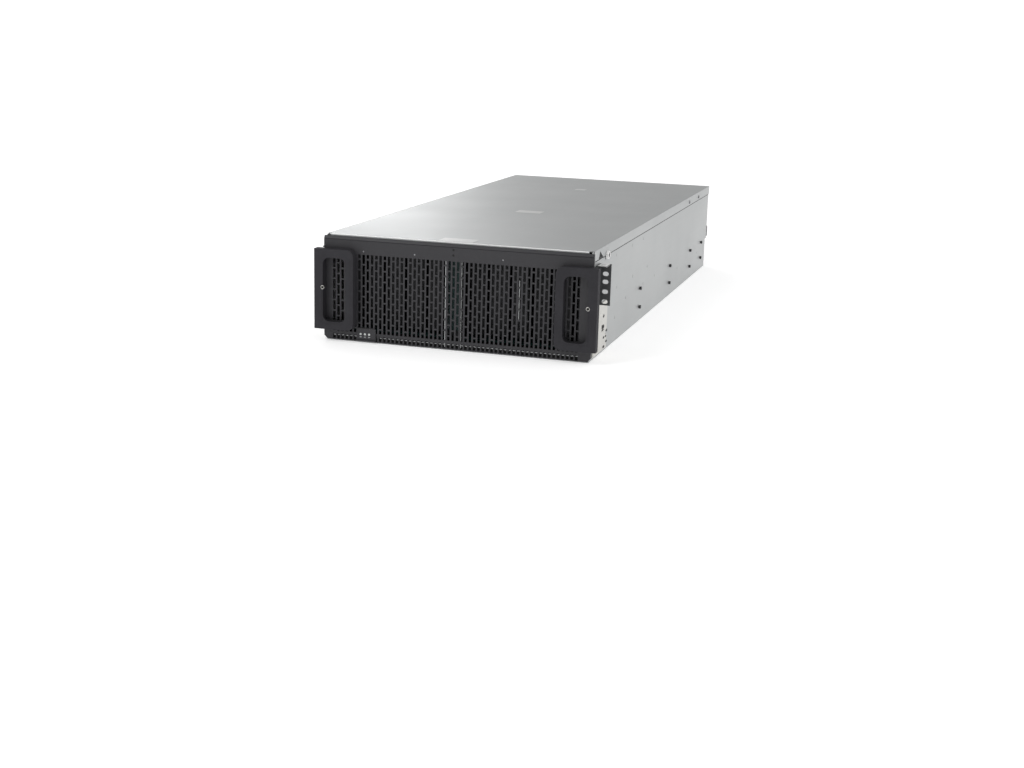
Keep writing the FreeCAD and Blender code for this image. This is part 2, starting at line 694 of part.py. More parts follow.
# ---------------------------------------------------------------- drives
def row_front(number):
    extra = " + row_plenum" if number >= FRONT_ROWS else ""
    return f"(row_first + {number} * row_pitch{extra})"


def row_of(label, width, y0, y1, bottom, height, left):
    """Twelve equal blocks side by side."""
    body = new_body()
    sketch = new_sketch(body, "XY")
    rectangle(sketch, 0, width, y0, y1)
    block = pad(body, sketch, height)
    repeat(body, block, sketch, "drive_pitch", "drives_in_row")
    if label:
        piece(body, label, left, "0", bottom)
    else:
        place(body, left, "0", bottom)
    return body


def build_drives():
    sockets = []
    for number in range(FRONT_ROWS + BACK_ROWS):
        front = row_front(number)
        back = f"{front} + drive_wide"
        row_of(f"drive_row_{number + 1}", "drive_thick", front, back, DRIVE_BOTTOM, "drive_long",
               f"-{ROW_LEFT}")
        row_of(f"drive_latches_{number + 1}", "drive_thick - 2 * latch_inset", f"{front} + latch_inset",
               f"{back} - latch_inset", DRIVE_TOP, "latch_height", f"-{ROW_LEFT} + latch_inset")
        middle = f"{front} + drive_wide / 2"
        sockets.append(row_of(None, "socket_wide", f"{middle} - socket_long / 2",
                              f"{middle} + socket_long / 2", BACKPLANE_TOP, "socket_high",
                              f"-{ROW_LEFT} + drive_thick / 2 - socket_wide / 2"))
    piece(group(sockets), "drive_sockets")


def beam(y0, y1):
    """An inverted channel across the case that stands on the backplane."""
    solid = box(f"-{WALL_IN} + case_sheet", f"{WALL_IN} - case_sheet", y0, y1, BACKPLANE_TOP, "beam_top")
    inside = box(f"-{WALL_IN}", WALL_IN, f"{y0} + case_sheet", f"{y1} - case_sheet",
                 f"{BACKPLANE_TOP} - {OVER}", "beam_top - case_sheet")
    return cut(solid, [inside])


def build_beams():
    count = FRONT_ROWS + BACK_ROWS
    beams = []
    for number in range(count - 1):
        y0 = f"{row_front(number)} + drive_wide + beam_gap"
        y1 = f"{row_front(number + 1)} - beam_gap"
        beams.append(beam(y0, y1))
    last = f"{row_front(count - 1)} + drive_wide + beam_gap"
    beams.append(beam(last, f"{BULKHEAD} - midplane_thick - beam_gap"))
    piece(group(beams), "cross_beams")


def build_backplane():
    half = "backplane_width / 2"
    back = f"{BULKHEAD} - midplane_thick"
    block_piece("backplane_board", f"-{half}", half, "backplane_front", back, "backplane_low", BACKPLANE_TOP)
    posts = []
    for number in range(FRONT_ROWS + BACK_ROWS):
        for side in (-1, 1):
            posts.append(rod("z", "standoff_radius", "backplane_low - case_sheet",
                             f"{side} * backplane_width / 3", f"{row_front(number)} + drive_wide / 2",
                             "case_sheet", STANDOFF_SIDES))
    piece(group(posts), "backplane_standoffs")


# ---------------------------------------------------------------- back of the shelf
def bay_middle(number):
    """The middle of a module bay, counted from the left."""
    return f"({number} - 1.5) * ({BAY_WIDTH} + case_sheet)"


def build_bulkhead():
    wall = box(f"-{WALL_IN}", WALL_IN, BULKHEAD, BULKHEAD_BACK, "case_sheet", f"{WALL_TOP} - case_sheet")
    near, far = f"{BULKHEAD} - {OVER}", f"{BULKHEAD_BACK} + {OVER}"
    tools = []
    for number in range(4):
        middle = bay_middle(number)
        level = f"{FAN_BOTTOM} + fan_high / 2"
        tools.append(box(f"{middle} - fan_window / 2", f"{middle} + fan_window / 2", near, far,
                         f"{level} - fan_window / 2", f"{level} + fan_window / 2"))
        half = "(plug_wide / 2 + plug_window)"
        tools.append(box(f"{middle} - {half}", f"{middle} + {half}", near, far,
                         "plug_level - plug_window", "plug_level + plug_high + plug_window"))
    piece(cut(wall, tools), "bulkhead")


def build_midplane():
    half = "backplane_width / 2"
    block_piece("midplane_board", f"-{half}", half, f"{BULKHEAD} - midplane_thick", BULKHEAD,
                "backplane_low", "midplane_high")
    plugs = []
    for number in range(4):
        middle = bay_middle(number)
        plugs.append(box(f"{middle} - plug_wide / 2", f"{middle} + plug_wide / 2", BULKHEAD,
                         MODULE_FRONT, "plug_level", "plug_level + plug_high"))
    piece(group(plugs), "module_plugs")


def build_bays():
    """The shelf between the two rows of modules, and the dividers below and above it."""
    back = "case_depth - tail_cut - bay_setback"
    block_piece("module_shelf", f"-{WALL_IN}", WALL_IN, BULKHEAD_BACK, back, "shelf_level",
                "shelf_level + case_sheet")
    low, high = [], []
    for number in range(3):
        x0 = f"{bay_middle(number)} + {BAY_WIDTH} / 2"
        x1 = f"{x0} + case_sheet"
        low.append(box(x0, x1, BULKHEAD_BACK, back, "case_sheet", "shelf_level"))
        high.append(box(x0, x1, BULKHEAD_BACK, back, "shelf_level + case_sheet", f"{FAN_BOTTOM} + fan_high"))
    piece(group(low), "lower_dividers")
    piece(group(high), "upper_dividers")


def build_power_supply(number, side):
    """Case with a notch for the inlet, the inlet, a strap pull and a sliding release tab."""
    half = f"{MODULE_WIDTH} / 2"
    place_at = (bay_middle(number), MODULE_BACK, MODULE_BOTTOM)
    case = box(f"-{half}", half, f"-{MODULE_LONG}", 0, 0, MODULE_HIGH)
    notch = box(f"{half} - inlet_wide", f"{half} + {OVER}", "-inlet_deep", OVER, -OVER, "inlet_high")
    piece(cut(case, [notch]), f"psu_{side}", *place_at)

    shell = box(f"{half} - inlet_wide", half, "-inlet_deep", 0, 0, "inlet_high")
    hole = box(f"{half} - inlet_wide + inlet_wall", f"{half} - inlet_wall", "inlet_floor - inlet_deep", OVER,
               "inlet_wall", "inlet_high - inlet_wall")
    blades = []
    middle = f"{half} - inlet_wide / 2"
    for step in (-1, 0, 1):
        x0 = f"{middle} + {step} * blade_pitch - blade_wide / 2"
        blades.append(box(x0, f"{x0} + blade_wide", "inlet_floor - inlet_deep",
                          "inlet_floor - inlet_deep + blade_long", "inlet_high / 2 - blade_high / 2",
                          "inlet_high / 2 + blade_high / 2"))
    piece(fuse([cut(shell, [hole])] + blades), f"psu_inlet_{side}", *place_at)

    left = f"-{half} + pull_at"
    low = f"({MODULE_HIGH} - pull_height) / 2"
    strap = box(left, f"{left} + pull_width", 0, "pull_out", low, f"{low} + pull_height")
    inside = box(f"{left} - {OVER}", f"{left} + pull_width + {OVER}", -OVER, "pull_out - pull_bar",
                 f"{low} + pull_bar", f"{low} + pull_height - pull_bar")
    piece(cut(strap, [inside]), f"psu_pull_{side}", *place_at)

    x0 = f"{left} + pull_width + release_gap"
    z0 = f"{MODULE_HIGH} / 2 - release_high / 2"
    block_piece(f"psu_release_{side}", x0, f"{x0} + release_wide", "bay_rest", "release_out", z0,
                f"{z0} + release_high", place_at)


def build_controller(number, word):
    """Case with two ports and two lugs, and the lever that turns in the lugs and draws it in and out."""
    half = f"{MODULE_WIDTH} / 2"
    place_at = (bay_middle(number), MODULE_BACK, MODULE_BOTTOM)
    axis = "(lever_gap + lever_thick / 2)"
    lug = "(lever_wide / 2 + lever_play)"
    parts = [box(f"-{half}", half, f"-{MODULE_LONG}", 0, 0, MODULE_HIGH)]
    for side in (1, -1):
        parts.append(side_box(side, lug, f"{lug} + lug_thick", 0, f"{axis} + lug_size / 2",
                              "lever_level - lug_size / 2", "lever_level + lug_size / 2"))
    tools = [rod("x", "lever_thick / 2 + pivot_play", f"2 * {lug} + 2 * lug_thick + {2 * OVER}",
                 f"-{lug} - lug_thick - {OVER}", axis, "lever_level", SCREW_SIDES)]
    for step in (-1, 1):
        middle = f"{step} * port_pitch / 2"
        tools.append(box(f"{middle} - port_wide / 2", f"{middle} + port_wide / 2", "-port_deep", OVER,
                         "port_level", "port_level + port_high"))
    piece(cut(fuse(parts), tools), f"controller_{word}", *place_at)

    blade = box("-lever_wide / 2", "lever_wide / 2", "lever_gap", "lever_gap + lever_thick", "lever_level",
                "lever_level + lever_high")
    pivot = rod("x", "lever_thick / 2", f"2 * {lug} + 2 * lug_thick", f"-{lug} - lug_thick", axis,
                "lever_level")
    piece(fuse([blade, pivot]), f"controller_lever_{word}", *place_at)


def build_fan(number):
    """Housing with a round duct, a motor mount on four spokes and a pull at its right edge."""
    half = f"{MODULE_WIDTH} / 2"
    level = "fan_high / 2"
    place_at = (bay_middle(number), FAN_BACK, FAN_BOTTOM)
    block = box(f"-{half}", half, "-fan_deep", 0, 0, "fan_high")
    duct = rod("y", "fan_bore", f"fan_deep + {2 * OVER}", 0, f"-fan_deep - {OVER}", level)
    reach = f"(fan_bore + {OVER})"
    spokes = [box(f"-{reach}", reach, "-spoke_wide", 0, f"{level} - spoke_wide / 2",
                  f"{level} + spoke_wide / 2"),
              box("-spoke_wide / 2", "spoke_wide / 2", "-spoke_wide", 0, f"{level} - {reach}",
                  f"{level} + {reach}")]
    mount = rod("y", "fan_mount", "fan_mount_long", 0, "-fan_mount_long", level, HUB_SIDES)
    pull = box(f"{half} - fan_pull_wide", half, 0, "fan_pull_out", 0, "fan_pull_high")
    piece(fuse([cut(block, [duct]), mount, pull] + spokes), f"fan_module_{number + 1}", *place_at)

    far = "-fan_mount_long - fan_running"
    hub = rod("y", "fan_hub", "fan_hub_long", 0, f"{far} - fan_hub_long", level, HUB_SIDES)
    blades = []
    for step in range(D.fan_blades):
        blade = DOC.addObject("Part::Box", "blade")
        bind(blade, "Length", "fan_blade_thick")
        bind(blade, "Width", "fan_hub_long - 2 * fan_blade_inset")
        bind(blade, "Height", "fan_bore - fan_gap - fan_hub + fan_blade_root")
        blade.Placement = blade_placement(step)
        blades.append(blade)
    piece(fuse([hub] + blades), f"fan_rotor_{number + 1}", *place_at)


def blade_placement(step):
    """A blade stands on the hub, leaning about its own radius, and is turned round the axis."""
    half_long = D.fan_hub_long / 2 - D.fan_blade_inset
    root = Vector(-D.fan_blade_thick / 2, -half_long, D.fan_hub - D.fan_blade_root)
    lean = FreeCAD.Placement(Vector(), Rotation(Vector(0, 0, 1), D.fan_blade_turn))
    around = FreeCAD.Placement(Vector(), Rotation(Vector(0, 1, 0), 360 * step / D.fan_blades))
    hub_middle = Vector(0, -D.fan_mount_long - D.fan_running - D.fan_hub_long / 2, D.fan_high / 2)
    return FreeCAD.Placement(hub_middle, Rotation()) * around * lean * FreeCAD.Placement(root, Rotation())


def build_all():
    fill_sheet()
    build_base_pan()
    build_cover()
    build_cover_screws()
    build_grille()
    for side, word in ((-1, "left"), (1, "right")):
        build_side_wall(side, f"side_wall_{word}")
        build_handle(side, f"handle_{word}")
        build_rack_ear(side, f"rack_ear_{word}")
        build_side_bracket(side, f"side_bracket_{word}")
    build_indicator_panel()
    build_front_stiffeners()
    build_drives()
    build_beams()
    build_backplane()
    build_bulkhead()
    build_midplane()
    build_bays()
    build_power_supply(0, "left")
    build_power_supply(3, "right")
    build_controller(1, "left")
    build_controller(2, "right")
    for number in range(4):
        build_fan(number)
    DOC.recompute()


def check_all():
    """Nothing is written while any object has failed."""
    for thing in DOC.Objects:
        if "Invalid" in thing.State or "Error" in thing.State:
            raise RuntimeError(f"{thing.Name} ({thing.Label}) failed: {thing.State}")
    for thing in PIECES:
        if thing.Shape.isNull() or not thing.Shape.isValid() or not thing.Shape.Solids:
            raise RuntimeError(f"{thing.Label} has no valid solid")


def export_all():
    os.makedirs("parts", exist_ok=True)
    for thing in PIECES:
        thing.Shape.exportStep(f"parts/{thing.Label}.step")
        solids = thing.Shape.Solids
        print(f"{thing.Label}: {len(solids)} solid(s), {thing.Shape.Volume / 1000:.1f} cm3")


build_all()
check_all()
export_all()
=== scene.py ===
"""Looks of the disk shelf enclosure: finishes, softened edges and the small parts on its sheet metal."""
import json
import math

import bmesh
import bpy
from mathutils import Matrix, Vector


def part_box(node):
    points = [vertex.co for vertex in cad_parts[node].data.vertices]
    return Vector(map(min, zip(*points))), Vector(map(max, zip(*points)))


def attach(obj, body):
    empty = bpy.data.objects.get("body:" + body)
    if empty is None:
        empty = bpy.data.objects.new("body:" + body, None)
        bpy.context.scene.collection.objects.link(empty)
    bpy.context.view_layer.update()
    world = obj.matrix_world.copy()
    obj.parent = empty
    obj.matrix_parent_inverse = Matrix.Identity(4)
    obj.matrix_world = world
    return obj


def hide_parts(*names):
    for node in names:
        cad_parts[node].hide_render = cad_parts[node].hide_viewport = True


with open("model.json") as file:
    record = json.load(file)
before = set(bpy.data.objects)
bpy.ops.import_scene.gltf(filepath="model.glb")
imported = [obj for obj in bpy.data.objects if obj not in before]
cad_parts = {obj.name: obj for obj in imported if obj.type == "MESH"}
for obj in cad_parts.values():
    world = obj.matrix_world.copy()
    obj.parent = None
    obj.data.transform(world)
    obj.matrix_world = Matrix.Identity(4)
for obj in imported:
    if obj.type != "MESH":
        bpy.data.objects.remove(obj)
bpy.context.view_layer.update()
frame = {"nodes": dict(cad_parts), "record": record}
NODES = frame["nodes"]
BODY_OF = {node: body for body, nodes in frame["record"]["behaviour"]["bodies"].items() for node in nodes}
SLOT_OF = {row["node"]: row["material_slot"] for row in frame["record"]["subparts"]}
MM = 0.001
MERGE = 1e-6
SHARP = math.radians(35)


# ---------------------------------------------------------------- finishes
class Wire:
    """A number inside a finish; arithmetic on it adds the Math nodes."""

    def __init__(self, graph, socket):
        self.graph = graph
        self.socket = socket

    def math(self, operation, first, second):
        return self.graph.node("ShaderNodeMath", {"operation": operation}, {0: first, 1: second})

    def __add__(self, other):
        return self.math("ADD", self, other)

    def __mul__(self, other):
        return self.math("MULTIPLY", self, other)

    __radd__ = __add__
    __rmul__ = __mul__


class Graph:
    """A node tree: its shader, its coordinates and one method that adds nodes."""

    def __init__(self, tree, shader, coordinates):
        self.tree = tree
        self.shader = tree.nodes[shader]
        self.place = Wire(self, tree.nodes.new("ShaderNodeTexCoord").outputs[coordinates])

    def node(self, kind, settings, sockets, output=0):
        """Adds a node: its settings first, then the values or links of its sockets."""
        added = self.tree.nodes.new(kind)
        for setting, value in settings.items():
            setattr(added, setting, value)
        for socket, value in sockets.items():
            if isinstance(value, Wire):
                self.tree.links.new(value.socket, added.inputs[socket])
            else:
                added.inputs[socket].default_value = value
        return Wire(self, added.outputs[output])

    def feed(self, socket, value):
        self.tree.links.new(value.socket, self.shader.inputs[socket])

    def remap(self, number, low, high, to_low, to_high):
        sockets = {"Value": number, "From Min": low, "From Max": high, "To Min": to_low, "To Max": to_high}
        return self.node("ShaderNodeMapRange", {"clamp": True}, sockets)


class Finish(Graph):
    """One material: a Principled shader and the nodes that feed it."""

    def __init__(self, name, **constants):
        self.material = bpy.data.materials.new(name)
        self.material.use_nodes = True
        super().__init__(self.material.node_tree, "Principled BSDF", "Object")
        for socket, value in constants.items():
            self.shader.inputs[socket.replace("_", " ")].default_value = value

    def stretched(self, x, y, z):
        """Object coordinates, scaled per axis."""
        sockets = {"Vector": self.place, "Scale": (x, y, z)}
        return self.node("ShaderNodeMapping", {"vector_type": "POINT"}, sockets)

    def noise(self, place, scale, detail=3.0, rough=0.55):
        sockets = {"Vector": place, "Scale": scale, "Detail": detail, "Roughness": rough}
        return self.node("ShaderNodeTexNoise", {}, sockets)

    def blend(self, mask, first, second):
        """Mixes two colours by a mask."""
        sockets = {0: mask, 6: (*first, 1.0), 7: (*second, 1.0)}
        return self.node("ShaderNodeMix", {"data_type": "RGBA"}, sockets, 2)

    def bump(self, height, strength):
        sockets = {"Height": height, "Strength": strength, "Distance": 0.2 * MM}
        self.feed("Normal", self.node("ShaderNodeBump", {}, sockets))


def sheet_finish(name, light, dark, roughness, metallic):
    """Plated sheet: faint rolling streaks along its length, soft blotches, a fine grain."""
    finish = Finish(name, Metallic=metallic)
    streaks = finish.noise(finish.stretched(420, 6, 420), 1.0, 4.0)
    blotches = finish.noise(finish.place, 7.0, 3.0, 0.5)
    grain = finish.noise(finish.place, 1600.0, 2.0)
    mask = finish.remap(streaks * 0.35 + blotches * 0.65, 0.30, 0.70, 0.0, 1.0)
    finish.feed("Base Color", finish.blend(mask, dark, light))
    finish.feed("Roughness", finish.remap(blotches, 0.3, 0.7, roughness + 0.02, roughness - 0.02))
    finish.bump(grain * 0.7 + streaks * 0.3, 0.05)
    return finish.material


def painted_finish(name, light, dark, roughness):
    """Powder paint: a fine orange-peel texture and slightly paler dust."""
    finish = Finish(name, Metallic=0.0, IOR=1.5)
    peel = finish.noise(finish.place, 1500.0, 2.0, 0.5)
    dust = finish.noise(finish.place, 18.0, 5.0, 0.65)
    finish.feed("Base Color", finish.blend(finish.remap(dust, 0.35, 0.7, 0.0, 1.0), dark, light))
    finish.feed("Roughness", finish.remap(dust, 0.3, 0.7, roughness - 0.05, roughness + 0.07))
    finish.bump(peel, 0.25)
    return finish.material


def plastic_finish(name, light, dark, roughness, grain=1100.0, strength=0.2, gloss=0.5):
    """Moulded plastic, lacquer or film with a fine grain; it also makes the near white of painted
    highlights and the near black of painted shade.
    """
    finish = Finish(name, Metallic=0.0, IOR=1.46, Specular_IOR_Level=gloss)
    texture = finish.noise(finish.place, grain, 3.0)
    wear = finish.noise(finish.place, 30.0, 4.0, 0.6)
    finish.feed("Base Color", finish.blend(finish.remap(wear, 0.35, 0.7, 0.0, 1.0), dark, light))
    finish.feed("Roughness", finish.remap(wear, 0.3, 0.7, roughness - 0.05, roughness + 0.05))
    finish.bump(texture, strength)
    return finish.material


SHEETS = {
    "zinc_sheet": ((0.430, 0.440, 0.440), (0.400, 0.410, 0.412), 0.44, 0.75),
    "bright_zinc": ((0.60, 0.59, 0.56), (0.54, 0.53, 0.50), 0.36, 0.8),
    # The ears' zinc, darkened: painted shade on their front faces.
    "shaded_ear_zinc": ((0.135, 0.139, 0.141), (0.115, 0.119, 0.121), 0.44, 0.75),
    "module_metal": ((0.50, 0.51, 0.52), (0.44, 0.45, 0.46), 0.36, 0.8),
    # Near black: painted shade of the dark inside, on the drives and on the backs of the front channel and
    # post, which are paler metal.
    "drive_metal": ((0.024, 0.024, 0.026), (0.016, 0.016, 0.018), 0.50, 0.2),
    "screw_steel": ((0.30, 0.30, 0.31), (0.22, 0.22, 0.23), 0.35, 0.95),
    "stud_black": ((0.050, 0.050, 0.052), (0.036, 0.036, 0.038), 0.40, 0.6),
}
PLASTICS = {
    # Near white: painted highlight on the cover's front fold, the tab rings and the ears' top edges.
    "painted_highlight_white": ((0.95, 0.95, 0.94), (0.90, 0.90, 0.89), 0.3, 700.0, 0.04),
    "shadow_black": ((0.006, 0.006, 0.006), (0.004, 0.004, 0.004), 0.7),
    "black_plastic": ((0.039, 0.038, 0.043), (0.031, 0.030, 0.034), 0.75, 1100.0, 0.2, 0.2),
    "dark_plastic": ((0.030, 0.030, 0.032), (0.020, 0.020, 0.022), 0.45),
    "panel_gloss": ((0.03, 0.03, 0.033), (0.022, 0.022, 0.025), 0.25, 600.0, 0.05),
    "lens_pale": ((0.62, 0.64, 0.62), (0.52, 0.54, 0.53), 0.3, 600.0, 0.05),
    "board_green": ((0.010, 0.050, 0.046), (0.006, 0.034, 0.032), 0.38, 300.0, 0.1),
    "pale_film": ((0.56, 0.56, 0.555), (0.52, 0.52, 0.515), 0.38, 500.0, 0.04),
    "release_blue": ((0.05, 0.20, 0.42), (0.04, 0.16, 0.35), 0.4),
}
FINISHES = {name: sheet_finish(name, *values) for name, values in SHEETS.items()}
FINISHES.update({name: plastic_finish(name, *values) for name, values in PLASTICS.items()})
FINISHES["black_paint"] = painted_finish("black_paint", (0.030, 0.029, 0.033), (0.024, 0.023, 0.027), 0.52)


def dress_cad_nodes():
    for node, thing in NODES.items():
        thing.data.materials.clear()
        thing.data.materials.append(FINISHES[SLOT_OF[node]])


# ---------------------------------------------------------------- shapes, with sizes in millimetres
def finished(mesh, name, body, slot, replaced=(), smooth=False):
    """Turns a bmesh into a piece with its finish, riding on a body."""
    bmesh.ops.remove_doubles(mesh, verts=mesh.verts, dist=MERGE)
    bmesh.ops.recalc_face_normals(mesh, faces=mesh.faces)
    data = bpy.data.meshes.new(name)
    mesh.to_mesh(data)
    mesh.free()
    if smooth:
        data.shade_smooth()
        data.set_sharp_from_angle(angle=SHARP)
    piece = bpy.data.objects.new(name, data)
    bpy.context.scene.collection.objects.link(piece)
    data.materials.append(FINISHES[slot])
    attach(piece, body)
    if replaced:
        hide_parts(*replaced)
    return piece


def rounded(piece, width, segments=2):
    """Rounds the sharp edges of a piece."""
    bevel = piece.modifiers.new("edges", "BEVEL")
    bevel.width = width * MM
    bevel.segments = segments
    bevel.limit_method = "ANGLE"
    bevel.angle_limit = SHARP
    bevel.use_clamp_overlap = True
    return piece


def thickened(piece, thickness, offset=0):
    """Gives a sheet its thickness: to both sides, or inwards with an offset of -1."""
    wall = piece.modifiers.new("sheet", "SOLIDIFY")
    wall.thickness = thickness * MM
    wall.offset = offset
    return wall


def softened(node, width, segments=2):
    """The node's own shape with its edges rounded over."""
    mesh = bmesh.new()
    mesh.from_mesh(NODES[node].data)
    bmesh.ops.remove_doubles(mesh, verts=mesh.verts, dist=MERGE)
    bmesh.ops.dissolve_limit(mesh, angle_limit=math.radians(1), verts=mesh.verts, edges=mesh.edges)
    piece = finished(mesh, f"{node}_rounded", BODY_OF[node], SLOT_OF[node], [node])
    return rounded(piece, width, segments)


def add_block(mesh, low, high):
    """Adds a block between two opposite corners."""
    middle = [(a + b) / 2 * MM for a, b in zip(low, high)]
    size = [abs(b - a) * MM for a, b in zip(low, high)]
    placing = Matrix.Translation(middle) @ Matrix.Diagonal((*size, 1))
    bmesh.ops.create_cube(mesh, size=1, matrix=placing)


def block(name, low, high, body, slot, replaced=()):
    mesh = bmesh.new()
    add_block(mesh, low, high)
    return finished(mesh, name, body, slot, replaced)


def upright_grid(mesh, low, high, columns=1, rows=1):
    """A flat grid that faces along y, between two corners."""
    wide, tall = high[0] - low[0], high[2] - low[2]
    middle = ((low[0] + high[0]) / 2 * MM, low[1] * MM, (low[2] + high[2]) / 2 * MM)
    placing = (Matrix.Translation(middle) @ Matrix.Rotation(math.pi / 2, 4, "X")
               @ Matrix.Diagonal((wide * MM, tall * MM, 1, 1)))
    bmesh.ops.create_grid(mesh, x_segments=columns, y_segments=rows, size=0.5, matrix=placing)


TURNS = {
    "+x": Matrix.Rotation(math.pi / 2, 4, "Y"), "-x": Matrix.Rotation(-math.pi / 2, 4, "Y"),
    "-y": Matrix.Rotation(math.pi / 2, 4, "X"), "+y": Matrix.Rotation(-math.pi / 2, 4, "X"),
}


def add_turned(mesh, profile, place, way, steps=20):
    """Spins a profile of radius and height round an axis that points the given way."""
    before = set(mesh.verts)
    line = [mesh.verts.new((radius * MM, 0, height * MM)) for radius, height in profile]
    edges = [mesh.edges.new(pair) for pair in zip(line, line[1:])]
    bmesh.ops.spin(mesh, geom=line + edges, cent=(0, 0, 0), axis=(0, 0, 1), angle=2 * math.pi,
                   steps=steps, use_merge=True, use_duplicate=False)
    made = [vert for vert in mesh.verts if vert not in before]
    bmesh.ops.remove_doubles(mesh, verts=made, dist=MERGE)
    made = [vert for vert in mesh.verts if vert not in before]
    placing = Matrix.Translation([value * MM for value in place]) @ TURNS[way]
    bmesh.ops.transform(mesh, matrix=placing, verts=made)


def turned(name, profile, places, way, body, slot, steps=20, replaced=()):
    """One piece of equal turned parts."""
    mesh = bmesh.new()
    for place in places:
        add_turned(mesh, profile, place, way, steps)
    return finished(mesh, name, body, slot, replaced, True)


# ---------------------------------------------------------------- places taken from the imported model
def corners(node):
    """The node's lowest and highest corners in millimetres."""
    low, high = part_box(node)
    return Vector(low) / MM, Vector(high) / MM


def outer_face(node, side):
    """The x of the node's outermost face on the left (-1) or the right (1)."""
    low, high = corners(node)
    return low.x if side < 0 else high.x


SIDES = ((-1, "left", "-x"), (1, "right", "+x"))
PLATE_LOW, PLATE_HIGH = corners("front_grille")
COVER_LOW, COVER_HIGH = corners("top_cover")
PANEL_LOW, PANEL_HIGH = corners("indicator_panel")
FACE = PLATE_LOW.y
MODULE_FACE = corners("psu_left")[1].y


# ---------------------------------------------------------------- front grille
SLOT_WIDE, SLOT_PITCH, SLOT_HIGH, SLOT_RISE = 4.4, 7.34, 15.0, 17.5
SLOT_FIRST, SLOT_COLUMNS, SLOT_ROWS = -208.02, 57, 7
FIELD_LOW, FIELD_HIGH, HALF_SLOT = 16.0, 144.75, 6.25
FOOT_HOLE_WIDE, FOOT_HOLE_LOW, FOOT_HOLE_HIGH = 4.8, 2.7, 11.4
PANEL_CLEAR = 24.6
PLATE_SHEET, PLATE_CHAMFER, PLATE_EDGE = 1.5, 5.0, 0.35
CREASE_LOW, CREASE_MIDDLE, CREASE_HIGH, CREASE_DEEP, TOP_LEAN = 166.4, 167.1, 167.8, 0.7, 2.4
ROOM, CLOSE = 1.0, 0.05


def slot_spans(shifted):
    """The lower and upper ends of the slots in one kind of column."""
    if shifted:
        low = FIELD_HIGH - SLOT_HIGH - SLOT_RISE * (SLOT_ROWS - 1)
        spans = [(FIELD_LOW, FIELD_LOW + HALF_SLOT)]
    else:
        low = FIELD_LOW
        spans = [(FIELD_HIGH - HALF_SLOT, FIELD_HIGH)]
    return spans + [(low + SLOT_RISE * row, low + SLOT_RISE * row + SLOT_HIGH) for row in range(SLOT_ROWS)]


def is_open(x, z):
    """Whether a place on the grille lies in a slot or in one of the small holes along its foot."""
    column = round((x - SLOT_FIRST) / SLOT_PITCH)
    if not 0 <= column < SLOT_COLUMNS:
        return False
    if PANEL_LOW.x - ROOM < x < PANEL_HIGH.x + ROOM and z < PANEL_CLEAR:
        return False
    aside = abs(x - SLOT_FIRST - column * SLOT_PITCH)
    if aside < SLOT_WIDE / 2 and any(low < z < high for low, high in slot_spans(column % 2)):
        return True
    return aside < FOOT_HOLE_WIDE / 2 and FOOT_HOLE_LOW < z < FOOT_HOLE_HIGH


def split_plate(mesh, place, normal, clear=False):
    """Cuts the plate along a plane, and clears what lies beyond it if asked."""
    geometry = mesh.verts[:] + mesh.edges[:] + mesh.faces[:]
    bmesh.ops.bisect_plane(mesh, geom=geometry, plane_co=[value * MM for value in place], plane_no=normal,
                           dist=1e-7, clear_outer=clear)


def is_outline(edge):
    """An edge on the plate's outline and not at a slot."""
    first, second = (vert.co / MM for vert in edge.verts)
    middle = (first + second) / 2
    leans = abs(first.x - second.x) > 0.01 and abs(first.z - second.z) > 0.01
    level = middle.z < PLATE_LOW.z + ROOM or middle.z > PLATE_HIGH.z - ROOM
    return abs(middle.x) > PLATE_HIGH.x - ROOM or level or leans


def open_slots(mesh):
    """Cuts the plate along every slot's sides and ends, and takes the faces inside the slots away."""
    for column in range(SLOT_COLUMNS):
        for half in (SLOT_WIDE / 2, FOOT_HOLE_WIDE / 2):
            for side in (-1, 1):
                split_plate(mesh, (SLOT_FIRST + column * SLOT_PITCH + side * half, 0, 0), (1, 0, 0))
    levels = {FOOT_HOLE_LOW, FOOT_HOLE_HIGH, PANEL_CLEAR, CREASE_LOW, CREASE_MIDDLE, CREASE_HIGH}
    for span in slot_spans(True) + slot_spans(False):
        levels.update(span)
    for level in sorted(levels):
        split_plate(mesh, (0, 0, level), (0, 0, 1))
    middles = {face: face.calc_center_median() / MM for face in mesh.faces}
    openings = [face for face, middle in middles.items() if is_open(middle.x, middle.z)]
    bmesh.ops.delete(mesh, geom=openings, context="FACES")


def build_grille_face():
    """The painted plate: slots in brickwork, a row of small holes at its foot, a leaning top edge."""
    mesh = bmesh.new()
    upright_grid(mesh, PLATE_LOW, PLATE_HIGH)
    open_slots(mesh)
    for side in (-1, 1):
        split_plate(mesh, (side * (PLATE_HIGH.x - PLATE_CHAMFER), 0, PLATE_LOW.z), (side, 0, -1), True)
    for vert in mesh.verts:
        if abs(vert.co.z / MM - CREASE_MIDDLE) < CLOSE:
            vert.co.y += CREASE_DEEP * MM
        if vert.co.z / MM > PLATE_HIGH.z - CLOSE:
            vert.co.y += TOP_LEAN * MM
    border = [edge for edge in mesh.edges if edge.is_boundary and is_outline(edge)]
    made = bmesh.ops.extrude_edge_only(mesh, edges=border)["geom"]
    for vert in made:
        if isinstance(vert, bmesh.types.BMVert):
            vert.co.y = PLATE_HIGH.y * MM
    piece = finished(mesh, "grille_face", "chassis", "black_paint", ["front_grille"])
    thickened(piece, PLATE_SHEET, -1).use_even_offset = True
    rounded(piece, PLATE_EDGE)


STUDS, STUD_HEAD = ((-157, 150), (-69, 151), (79, 153)), [(1.3, -0.5), (1.3, 0.1), (1.0, 0.25), (0, 0.3)]
